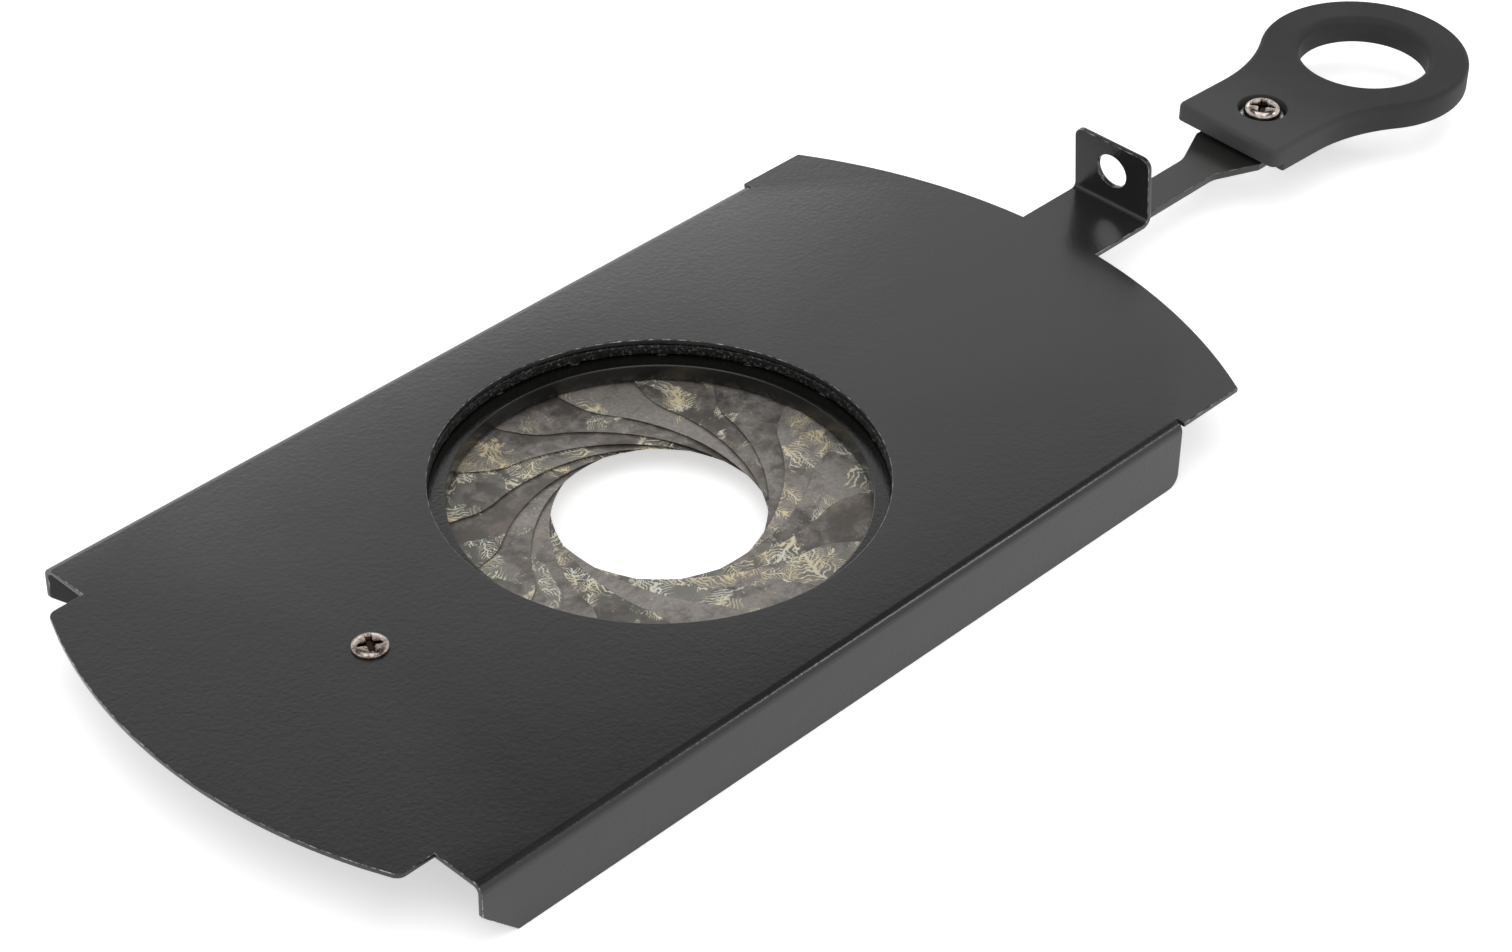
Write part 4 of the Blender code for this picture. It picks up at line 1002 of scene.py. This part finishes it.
@dataclass
class Carrier:
    """Folded plate, drawn as the flat sheet that is cut before it is bent."""

    opening: float = 40.0
    width: float = 108.3
    far_radius: float = 105.6
    near_radius: float = 106.6
    near_width: float = 87.0
    near_corner: float = 2.0
    flange_near: float = 90.3
    flange_far: float = 75.5
    flange_depth: float = 13.5
    chamfer: float = 7.1
    flange_corner: float = 2.5
    knee_round: float = 0.6
    bow_trim: int = 5
    bend: float = 2.0
    slit: float = 0.3
    tongue: float = 18.0
    ear_face: float = 120.2
    ear_height: float = 14.0
    ear_turn: float = 95.5
    ear_corner: float = 2.0
    ear_hole: float = 3.5
    ear_hole_height: float = 7.7
    edge_round: float = 0.16
    bend_steps: int = 10
    fixings: Fixings = field(default_factory=Fixings)

    @property
    def inner_bend(self) -> float:
        """Inner radius of every fold."""
        return self.bend - self.fixings.sheet.thickness

    @property
    def neutral(self) -> float:
        """Radius of the layer that keeps its length in a bend."""
        return (self.bend + self.inner_bend) / 2

    @property
    def bend_length(self) -> float:
        """Flat length that a right-angle bend uses up."""
        return self.neutral * math.pi / 2

    @property
    def ear_bend(self) -> float:
        """Flat length that the ear's bend uses up."""
        return self.neutral * math.radians(self.ear_turn)

    @property
    def fold_line(self) -> float:
        """Distance from the middle at which the side bends start."""
        return self.width / 2 - self.bend

    @property
    def ear_line(self) -> float:
        """Where the ear's bend starts along the tongue."""
        return self.ear_face - self.inner_bend

    def up_ear(self, height: float) -> float:
        """Flat position of a point at a height along the ear."""
        return self.ear_line + self.ear_bend + height - self.inner_bend

    def lay(self, plan: np.ndarray, height: float) -> np.ndarray:
        """Flat sheet points bent into place.

        Past a fold line the distance becomes an angle round the bend, up to a right angle, and
        what is left runs straight on.  The sides bend down and the ear bends up.
        """
        x, y = plan[:, 0].copy(), plan[:, 1].copy()
        z = np.full(len(plan), height)
        past = np.abs(plan[:, 1]) - self.fold_line
        flange = (past > 0) & (plan[:, 0] < self.flange_far + self.slit / 2)
        angle = np.clip(past / self.neutral, 0, math.pi / 2)
        straight = np.maximum(past - self.bend_length, 0)
        radius = self.bend + height
        y = np.where(flange, np.sign(y) * (self.fold_line + radius * np.sin(angle)), y)
        z = np.where(flange, -self.bend + radius * np.cos(angle) - straight, z)
        beyond = plan[:, 0] - self.ear_line
        ear = (beyond > 0) & (np.abs(plan[:, 1]) < self.tongue)
        angle = np.clip(beyond / self.neutral, 0, math.radians(self.ear_turn))
        straight = np.maximum(beyond - self.ear_bend, 0)
        radius = self.inner_bend - height
        x = np.where(ear, self.ear_line + radius * np.sin(angle) + straight * np.cos(angle), x)
        z = np.where(ear, self.inner_bend - radius * np.cos(angle) + straight * np.sin(angle), z)
        return np.column_stack([x, y, z])

    def right_side(self) -> np.ndarray:
        """Right half of the flat outline, from the near notch to the ear's top."""
        fold, near = self.fold_line, self.near_width / 2
        bends = fold + np.linspace(0, self.bend_length, self.bend_steps + 1)
        foot = fold + self.bend_length + self.flange_depth - self.bend
        knee = foot - self.chamfer
        start = np.column_stack([np.full(len(bends), -self.flange_near), -bends])
        corner = rounded([(-self.flange_near, -fold, 0), (-self.flange_near, -knee, self.knee_round),
                          (self.chamfer - self.flange_near, -foot, self.knee_round),
                          (self.flange_far, -foot, self.flange_corner),
                          (self.flange_far, -fold, 0)])[1:-1]
        end = np.column_stack([np.full(len(bends), self.flange_far), -bends[::-1]])
        past_slit = self.flange_far + self.slit
        tab = np.array([[past_slit, -fold], [past_slit, -self.width / 2]])
        side = math.degrees(math.asin(self.width / 2 / self.far_radius))
        root = math.degrees(math.asin(self.tongue / 2 / self.far_radius))
        far = arc(self.far_radius, -side, -root, 40)
        rows = self.ear_line + np.linspace(0, self.ear_bend, self.bend_steps + 1)
        tongue = np.column_stack([rows, np.full(len(rows), -self.tongue / 2)])
        tip = self.up_ear(self.ear_height)
        ear = rounded([(tip - 6, -self.tongue / 2, 0), (tip, -self.tongue / 2, self.ear_corner),
                       (tip, 0, 0)])[1:-1]
        return np.vstack([[[-self.flange_near, -near]], start, corner, end, tab, far, tongue, ear])

    def outline(self) -> np.ndarray:
        """Whole flat outline, anticlockwise."""
        right = self.right_side()
        left = right[::-1] * [1, -1]
        half = math.degrees(math.asin(self.near_width / 2 / self.near_radius))
        bow = arc(self.near_radius, 180 - half, 180 + half, 72)
        r, bow_middle = self.near_corner, bow[self.bow_trim:-self.bow_trim]
        first = rounded([(*left[-1], 0), (*bow[0], r), (*bow_middle[0], 0)])[1:-1]
        last = rounded([(*bow_middle[-1], 0), (*bow[-1], r), (*right[0], 0)])[1:-1]
        return np.vstack([right, left, first, bow_middle, last])

    def inner_plan(self) -> np.ndarray:
        """Grid points that the faces bend through, along the folds and the ear's bend."""
        along = np.linspace(-self.flange_near, self.flange_far, 34)[1:-1]
        across = self.fold_line + np.linspace(0, self.bend_length, self.bend_steps + 1)
        grid = np.array(np.meshgrid(along, np.concatenate([across, -across]))).reshape(2, -1).T
        rows = self.ear_line + np.linspace(0, self.ear_bend, self.bend_steps + 1)
        wide = np.linspace(-self.tongue / 2, self.tongue / 2, 8)[1:-1]
        ear = np.array(np.meshgrid(rows, wide)).reshape(2, -1).T
        return np.vstack([grid, ear])

    def build(self, datum: Datum, looks: Looks) -> None:
        """Plate, its two weld studs and its visible screw."""
        shell = Shell()
        edge = square_edge(0.0, -self.fixings.sheet.thickness, self.edge_round)
        centres, levels = self.fixings.centres(), self.fixings.levels
        holes = [hole(self.opening, RING_STEPS), PLATE_SIZE.hole(centres["near"]),
                 hole(self.ear_hole, 48, (self.up_ear(self.ear_hole_height), 0.0))]
        shell.sheet(self.outline(), edge, holes, self.lay, self.inner_plan())
        add(shell, "plate_folded_sheet", datum, looks.coat, Body.CARRIER, "carrier_plate")
        for side in ("right", "left"):
            stud = Shell()
            PLATE_SIZE.thread(stud, -0.7, levels.screw_end, centres[side])
            add(stud, f"weld_stud_{side}", datum, looks.zinc, Body.CARRIER, "carrier_plate")
        screw = PLATE_SIZE.screw(0.03, levels.screw_end, 0.9, 0.75, centres["near"])
        add(screw, "plate_screw_crosshead", datum, looks.stained, Body.CARRIER, "plate_screw",
            HEAD_SMOOTH_BELOW)


@dataclass
class Cartridge:
    """Cover ring, cup housing and the hidden nuts and washers."""

    radius: float = 52.4
    opening: float = 40.0
    floor_bore: float = 38.0
    floor_top: float = -11.32
    floor_bottom: float = -12.62
    wall: float = 1.4
    foot_round: float = 0.9
    floor_round: float = 0.6
    rim_round: float = 0.2
    pivots: float = 46.0
    pivot_hole: float = 1.3
    blades: int = 16
    fixings: Fixings = field(default_factory=Fixings)

    def build(self, datum: Datum, looks: Looks) -> None:
        """Makes every piece of the cartridge that stays with the plate."""
        self.cover(datum, looks)
        self.cup(datum, looks)
        levels = self.fixings.levels
        for side, centre in self.fixings.centres().items():
            washer = PLATE_SIZE.washer_shell(levels.washer_top, centre)
            add(washer, f"washer_{side}_stamped", datum, looks.zinc, Body.CARRIER,
                f"fixing_washer_{side}")
            nut = PLATE_SIZE.nut_shell(levels.nut_top, centre)
            add(nut, f"nut_{side}_hexagon", datum, looks.zinc, Body.CARRIER, f"fixing_nut_{side}",
                NUT_SMOOTH_BELOW)

    def cover(self, datum: Datum, looks: Looks) -> None:
        """Thick ring whose bore is the coarse wall inside the opening."""
        levels, shell = self.fixings.levels, Shell()
        edge = square_edge(levels.cover_top, levels.cover_bottom, 0.2)
        holes = [hole(self.opening, RING_STEPS)]
        holes += [PLATE_SIZE.hole(centre) for centre in self.fixings.centres().values()]
        shell.sheet(self.fixings.lugged(self.radius), edge, holes)
        add(shell, "cover_ring_coated", datum, looks.rough, Body.CARRIER, "cover_ring")

    def cup(self, datum: Datum, looks: Looks) -> None:
        """Drawn cup with a rounded foot, pivot holes through its floor and three lugs."""
        levels, shell = self.fixings.levels, Shell()
        inner = round_under(self.floor_round, self.floor_top, 6)[::-1] + [self.wall, 0.0]
        chamfer = self.rim_round
        rim = [(self.wall, levels.cup_rim - chamfer), (self.wall - chamfer, levels.cup_rim),
               (chamfer, levels.cup_rim), (0.0, levels.cup_rim - chamfer)]
        section = np.vstack([inner, rim, round_under(self.foot_round, self.floor_bottom, 6)])
        edge = square_edge(self.floor_top, self.floor_bottom, 0.15)
        holes = [hole(self.floor_bore, RING_STEPS)]
        holes += [hole(self.pivot_hole, 24, polar(self.pivots, angle))
                  for angle in 360 / self.blades * np.arange(self.blades)]
        shell.slab([(disc(self.radius, RING_STEPS), section), *[(h, edge) for h in holes]])
        lug_edge = square_edge(levels.lever_top, levels.lug_bottom, 0.3)
        for start, end, centre in self.fixings.lug_spans(self.radius):
            middle = (start + end) / 2
            tip = arc(self.fixings.lug, middle - 90, middle + 90, 24, centre)
            root = arc(self.radius - 0.04, end, start, 8)
            shell.sheet(np.vstack([tip, root]), lug_edge, [PLATE_SIZE.hole(centre)])
        add(shell, "cup_housing_drawn", datum, looks.rough, Body.CARRIER, "cup_housing")


@dataclass
class Blades:
    """Sixteen thin twisted blades with their pins."""

    count: int = 16
    inner: float = 40.0
    width: float = 12.0
    pivots: float = 46.0
    thickness: float = 0.17
    tab: float = 3.6
    pin: float = 1.0
    rest: float = 26.82
    drive_inset: float = 4.6
    drive_ear: float = 3.2
    past_pin: float = 4.2
    tip_cut: tuple[float, float] = (5.0, 9.0)
    tip_rounds: tuple[float, float, float] = (3.0, 5.0, 12.0)
    edge_starts: tuple[float, float] = (13.0, 10.0)
    edge_stops: tuple[float, float] = (12.0, 16.0)
    pitch: float = 0.0175
    twist_angle: float = 41.4
    pivot_tip: float = -12.47
    levels: Levels = field(default_factory=Levels)

    @property
    def drive(self) -> np.ndarray:
        """Drive pin in the blade's frame, whose origin is the pivot."""
        reach = 2 * self.pivots - self.drive_inset
        return polar(reach, 180 - self.rest)

    @property
    def centre(self) -> np.ndarray:
        """Centre of the blade's curved edges."""
        return np.array([-self.pivots, 0.0])

    @property
    def drive_angle(self) -> float:
        """Degrees from the pivot to the drive pin about that centre."""
        arm = self.drive - self.centre
        return math.degrees(math.atan2(arm[1], arm[0]))

    def climb(self, plan: np.ndarray) -> np.ndarray:
        """Degrees of each point about the twist centre."""
        centre = polar(self.pivots, 180 - self.twist_angle)
        angle = np.degrees(np.arctan2(plan[:, 1] - centre[1], plan[:, 0] - centre[0]))
        return np.where(angle < -140, angle + 360, angle)

    def lay(self, plan: np.ndarray, height: float) -> np.ndarray:
        """Lifts each point by its share of the spiral stair that all the blades form."""
        at_pin = self.climb(self.drive[None])[0]
        z = self.levels.blade_pin + self.pitch * (self.climb(plan) - at_pin) + height
        return np.column_stack([plan, z])

    def outline(self) -> np.ndarray:
        """Crescent with a round pivot end and a drive end that is blunt outside and cut inside."""
        drive, centre = self.drive_angle, self.centre
        end = drive + self.past_pin
        ear = float(np.linalg.norm(self.drive - centre)) + self.drive_ear
        outer = arc(self.inner + self.width, self.edge_starts[0], drive - self.edge_stops[0], 60, centre)
        inner = arc(self.inner, end - self.edge_stops[1], self.edge_starts[1], 80, centre)
        (rise, back), (small, middle, large) = self.tip_cut, self.tip_rounds
        corners = [(*outer[-1], 0), (*polar(ear, drive - 4, centre), small),
                   (*polar(ear, end, centre), small), (*polar(self.inner + rise, end, centre), middle),
                   (*polar(self.inner, end - back, centre), large), (*inner[0], 0)]
        tip = rounded(corners)[1:-1]
        return np.vstack([outer, tip, inner, arc(self.tab, -175, -5, 20)])

    def shell(self) -> Shell:
        """One blade in its own frame, with a pivot pin below and a drive pin above."""
        shell = Shell()
        half = self.thickness / 2
        edge = np.array([[0.03, half], [0.0, half - 0.03], [0.0, 0.03 - half], [0.03, -half]])
        share = np.linspace(0.14, 0.86, 4)[:, None]
        along = np.linspace(12, self.drive_angle - 12, 34)[None, :]
        spots = polar(self.inner + self.width * share + 0 * along, along + 0 * share, self.centre)
        shell.sheet(self.outline(), edge, (), self.lay, spots.reshape(-1, 2))
        drive_root = float(self.lay(self.drive[None], 0.0)[0, 2])
        pivot_root = float(self.lay(np.zeros((1, 2)), 0.0)[0, 2])
        self.peg(shell, self.levels.drive_tip, drive_root, self.drive)
        self.peg(shell, pivot_root, self.pivot_tip, np.zeros(2))
        return shell

    def peg(self, shell: Shell, top: float, bottom: float, centre: np.ndarray) -> None:
        """Turned pin with small chamfers."""
        edge = 0.15
        shell.lathe(np.array([(self.pin - edge, top), (self.pin, top - edge),
                              (self.pin, bottom + edge), (self.pin - edge, bottom)]), 24, centre)

    def build(self, datum: Datum) -> None:
        """All the blades, each turned into its place."""
        pattern = self.shell()
        for i in range(self.count):
            around = 360 / self.count * i
            place = np.append(polar(self.pivots, around), 0.0)
            name = f"blade_{i + 1:02d}"
            look = Look(BladeSteel(i + 1).material(), Slot.BLADE)
            add(pattern.turn(spin(around + self.rest), place), f"{name}_twisted", datum, look,
                f"{name}_body", name)


@dataclass
class Lever:
    """Cam ring with its drawn lip and the arm."""

    radius: float = 52.1
    bore: float = 36.9
    lip_wall: float = 1.2
    lip_round: float = 0.3
    lip_chamfer: float = 0.15
    arm: float = 7.7
    foot: float = 15.8
    flare_start: float = 147.0
    flare_end: float = 156.3
    arm_end: float = 181.0
    arm_rounds: tuple[float, float, float] = (6.0, 1.0, 2.0)
    screw_x: float = 166.5
    swing: float = 31.0
    overrun: float = 1.0
    ratio: float = 0.62
    slot_clearance: float = 0.3
    slot_steps: int = 28
    blades: Blades = field(default_factory=Blades)
    fixings: Fixings = field(default_factory=Fixings)

    def slot(self) -> np.ndarray:
        """Cam slot: the path of a drive pin in the ring, widened by the pin and its clearance."""
        reach = self.swing + self.overrun
        swing = np.linspace(-reach, reach, self.slot_steps + 1)
        turn = np.radians(self.blades.rest + self.ratio * swing)
        drive = self.blades.drive
        x = self.blades.pivots + drive[0] * np.cos(turn) - drive[1] * np.sin(turn)
        y = drive[0] * np.sin(turn) + drive[1] * np.cos(turn)
        back = np.radians(-swing)
        path = np.stack([x * np.cos(back) - y * np.sin(back), x * np.sin(back) + y * np.cos(back)], -1)
        width = self.blades.pin + self.slot_clearance
        across = left_of(unit(np.gradient(path, axis=0))) * width
        ends = []
        for tip, last in ((path[-1], path[-1] - across[-1]), (path[0], path[0] + across[0])):
            start = math.degrees(math.atan2(last[1] - tip[1], last[0] - tip[0]))
            ends.append(arc(width, start, start + 180, 10, tip)[1:-1])
        return np.vstack([path - across, ends[0], (path + across)[::-1], ends[1]])[::-1]

    def outline(self) -> np.ndarray:
        """Rim and arm, anticlockwise from the arm's right root."""
        arm, foot = self.arm / 2, self.foot / 2
        root = math.degrees(math.asin(arm / self.radius))
        rim = arc(self.radius, root, 360 - root, 176)
        inward, outward, tip = self.arm_rounds
        right = [(self.flare_start, -arm, inward), (self.flare_end, -foot, outward),
                 (self.arm_end, -foot, tip)]
        left = [(x, -y, radius) for x, y, radius in right[::-1]]
        corners = [(*rim[-1], 0.0), *right, *left, (*rim[0], 0.0)]
        return np.vstack([rounded(corners)[1:-1], rim])

    def build(self, datum: Datum, looks: Looks) -> None:
        """The ring with its sixteen slots, its lip and its arm."""
        levels, shell = self.fixings.levels, Shell()
        edge = square_edge(levels.lever_top, levels.lever_bottom, 0.14)
        cut, low = self.lip_chamfer, levels.lip_bottom
        foot = [(0.0, low + cut), (cut, low), (self.lip_wall - cut, low),
                (self.lip_wall, low + cut), (self.lip_wall, levels.lever_bottom)]
        lip = np.vstack([round_over(self.lip_round, levels.lever_top, 6), foot])
        loops = [(self.outline(), edge), (hole(self.bore, RING_STEPS), lip),
                 (HANDLE_SIZE.hole((self.screw_x, 0.0)), edge)]
        cam = self.slot()
        for angle in 360 / self.blades.count * np.arange(self.blades.count):
            loops.append((cam @ spin(angle)[:2, :2].T, edge))
        shell.slab(loops)
        add(shell, "lever_ring_and_arm", datum, looks.lever, Body.LEVER, "lever_ring")


@dataclass
class Handle:
    """Moulded finger ring, its screw, washer and nut."""

    top: float = 1.5
    foot: float = -3.95
    seat_height: float = -3.2
    ceiling: float = -2.1
    front: float = 155.5
    half: float = 12.7
    corner: float = 1.6
    neck: float = 34.0
    finger: float = 198.1
    outer: float = 21.0
    lean: float = -2.2
    eye: float = 13.0
    edge_round: float = 1.0
    eye_round: float = 1.5
    under_round: float = 0.4
    screw_x: float = 166.5
    counterbore: float = 4.9
    counterbore_depth: float = 2.5
    pocket_wall: float = 2.0
    pocket_back: float = 182.0
    skirt_front: float = 158.3
    seat: float = 6.9
    seat_front: float = 159.5
    seat_back: float = 180.0
    fixings: Fixings = field(default_factory=Fixings)

    def sides(self) -> tuple[np.ndarray, np.ndarray]:
        """Ring with its left neck, and the right neck, both anticlockwise."""
        rise = self.half + self.neck
        run = math.sqrt((self.neck + self.outer) ** 2 - rise ** 2)
        meet = math.degrees(math.atan2(rise, run))
        ring = arc(self.outer, meet - 180, 180 - meet, 120, (self.finger, 0.0))
        left = arc(self.neck, -meet, -90, 20, (self.finger - run, rise))[1:]
        right = left[::-1] * [1, -1]
        return np.vstack([ring, left]), right

    def outline(self, pocket: bool) -> np.ndarray:
        """Plan of the moulding, or of its skirt, which leaves the front and the pocket free."""
        body, right = self.sides()
        half, inner = self.half, self.half - self.pocket_wall
        front, corner = (self.skirt_front, 0.5) if pocket else (self.front, self.corner)
        corners = [(*body[-1], 0.0), (front, half, corner)]
        if pocket:
            corners += [(front, inner, corner), (self.pocket_back, inner, 2.0),
                        (self.pocket_back, -inner, 2.0), (front, -inner, corner)]
        corners += [(front, -half, corner), (*right[0], 0.0)]
        return np.vstack([body, rounded(corners)[1:-1], right])

    def moulding(self) -> Shell:
        """Upper shell, and under it the rim and the seat that stand round the arm."""
        shell = Shell()
        lap = 0.02
        eye = hole(self.eye, 120, (self.finger, 0.0))
        shoulder = self.top - self.counterbore_depth
        throat = HANDLE_SIZE.shank + HANDLE_SIZE.clearance - self.counterbore
        rim = square_edge(self.top, self.ceiling, self.edge_round, 0.0, 8)
        eye_rim = square_edge(self.top, self.ceiling, self.eye_round, 0.0, 8)
        bore = np.array([(0.25, self.top), (0.07, self.top - 0.07), (0.0, self.top - 0.25),
                         (0.0, shoulder), (throat, shoulder), (throat, self.ceiling)])
        screw = hole(self.counterbore, 72, (self.screw_x, 0.0))
        shell.slab([(self.outline(False), rim), (eye, eye_rim), (screw, bore)])
        foot = square_edge(self.ceiling + lap, self.foot, 0.0, self.under_round, 5)
        shell.sheet(self.outline(True), foot, [eye])
        r, s = 1.0, self.seat
        island = rounded([(self.seat_front, -s, r), (self.seat_back, -s, r),
                          (self.seat_back, s, r), (self.seat_front, s, r)])
        pad = square_edge(self.ceiling + lap, self.seat_height, 0.0, 0.15)
        shell.sheet(island, pad, [HANDLE_SIZE.hole((self.screw_x, 0.0))])
        about = np.array([self.screw_x, 0.0, 0.0])
        turn = spin(self.lean)
        return shell.turn(turn, about - turn @ about)

    def build(self, datum: Datum, looks: Looks) -> None:
        """Moulding and the fixings that clamp it to the arm."""
        add(self.moulding(), "handle_moulding", datum, looks.handle, Body.LEVER, "handle")
        centre = np.array([self.screw_x, 0.0])
        gap = self.fixings.sheet.gap
        washer_top = self.top - self.counterbore_depth + gap + HANDLE_SIZE.washer_thickness
        washer = HANDLE_SIZE.washer_shell(washer_top, centre)
        add(washer, "handle_washer_stamped", datum, looks.zinc, Body.LEVER, "handle_washer")
        nut_top = self.fixings.levels.lever_bottom - gap
        end = nut_top - HANDLE_SIZE.nut_height - 0.4
        screw = HANDLE_SIZE.screw(washer_top + gap, end, 2.1, 1.3, centre)
        add(screw, "handle_screw_crosshead", datum, looks.nickel, Body.LEVER, "handle_screw",
            HEAD_SMOOTH_BELOW)
        add(HANDLE_SIZE.nut_shell(nut_top, centre), "handle_nut_hexagon", datum, looks.zinc,
            Body.LEVER, "handle_nut", NUT_SMOOTH_BELOW)


@dataclass
class Studio:
    """White floor, plain surroundings, soft lamps and the camera at the photograph's angle."""

    azimuth: float = -45.213
    elevation: float = 37.442
    roll: float = 0.332
    distance: float = 628.46
    target: tuple[float, float, float] = (5.341, -6.342, 0.0)
    focal_px: float = 3660.77
    shift_px: tuple[float, float] = (-48.44, 0.79)
    image: tuple[int, int] = (1512, 952)
    sensor: float = 36.0
    floor_half: float = 3.0
    floor_lift: float = 0.50
    floor_colour: Colour = (0.86, 0.86, 0.865)
    dusk: tuple[float, float] = (0.60, 0.77)
    overhead: float = 0.08

    def camera(self, datum: Datum) -> None:
        """Camera fitted to the photograph; its axes come from azimuth, elevation and roll."""
        az, el, roll = (math.radians(v) for v in (self.azimuth, self.elevation, self.roll))
        back = np.array([math.sin(az) * math.cos(el), -math.cos(az) * math.cos(el), math.sin(el)])
        right = unit(np.cross(-back, [0, 0, 1]))
        up = np.cross(right, -back)
        side = math.cos(roll) * right + math.sin(roll) * up
        top = math.cos(roll) * up - math.sin(roll) * right
        place = datum.place((np.array(self.target) + back * self.distance)[None])[0]
        lens = bpy.data.cameras.new("camera")
        lens.sensor_width = self.sensor
        lens.lens = self.focal_px * self.sensor / self.image[0]
        lens.shift_x = -self.shift_px[0] / self.image[0]
        lens.shift_y = self.shift_px[1] / self.image[0]
        lens.clip_start = 0.01
        made = bpy.data.objects.new("camera", lens)
        made.matrix_world = Matrix(np.block([[np.column_stack([side, top, back]), place[:, None]],
                                             [np.zeros((1, 3)), np.ones((1, 1))]]).tolist())
        bpy.context.scene.collection.objects.link(made)
        bpy.context.scene.camera = made

    def seen(self, r: Recipe) -> Any:
        """One for camera, mirror and glass rays, and zero for the rays that light the part."""
        rays = r.node("LightPath", "Is Camera Ray").node.outputs
        mirrored = r.math("MAXIMUM", rays["Is Camera Ray"], rays["Is Glossy Ray"])
        return r.math("MAXIMUM", mirrored, rays["Is Transmission Ray"])

    def floor(self) -> None:
        """White floor under the part, lifted to white where it is seen."""
        h = self.floor_half
        mesh = bpy.data.meshes.new("floor")
        mesh.from_pydata([(-h, -h, 0), (h, -h, 0), (h, h, 0), (-h, h, 0)], [], [(0, 1, 2, 3)])
        r = Recipe(bpy.data.materials.new("floor_white"), "Principled BSDF")
        lift = r.times(self.seen(r), self.floor_lift)
        mesh.materials.append(r.finish(Base_Color=self.floor_colour, Roughness=0.9,
                                       Specular_IOR_Level=0.1, Emission_Color=WHITE,
                                       Emission_Strength=lift))
        made = bpy.data.objects.new("floor", mesh)
        bpy.context.scene.collection.objects.link(made)

    def surroundings(self) -> None:
        """World that is white round the horizon and darker overhead."""
        world = bpy.data.worlds.new("studio")
        bpy.context.scene.world = world
        r = Recipe(world, "Background")
        height = r.node("SeparateXYZ", "Z", r.node("TexCoord", "Generated"))
        r.finish(Color=WHITE, Strength=r.span(height, *self.dusk, 1.0, self.overhead))

    def lamp(self, name: str, place: tuple[float, float, float], size: tuple[float, float],
             power: float) -> None:
        """Soft rectangular lamp aimed at the part."""
        data = bpy.data.lights.new(name, "AREA")
        data.shape = "RECTANGLE"
        data.size, data.size_y = size
        data.energy = power
        made = bpy.data.objects.new(name, data)
        made.location = place
        made.rotation_euler = (-Vector(place)).to_track_quat("-Z", "Y").to_euler()
        bpy.context.scene.collection.objects.link(made)

    def build(self, datum: Datum) -> None:
        """Sets up everything round the part."""
        self.camera(datum)
        self.floor()
        self.surroundings()
        self.lamp("overhead_softbox", (-0.5, -0.3, 2.3), (2.4, 2.4), 31.0)
        self.lamp("back_softbox", (1.0, 1.7, 0.85), (1.2, 0.6), 3.0)
        self.lamp("front_softbox", (1.0, -0.95, 1.1), (0.3, 0.3), 1.5)
        bpy.context.scene.view_settings.view_transform = "Standard"


def main() -> None:
    """Builds the sub-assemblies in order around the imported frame."""
    logging.basicConfig(level=logging.INFO, format="%(name)s: %(message)s")
    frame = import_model()
    datum = Datum.from_frame(frame, SheetSizes())
    Studio().build(datum)
    looks = Looks.mixed(datum)
    Carrier().build(datum, looks)
    Cartridge().build(datum, looks)
    Blades().build(datum)
    Lever().build(datum, looks)
    Handle().build(datum, looks)


if __name__ == "__main__":
    main()
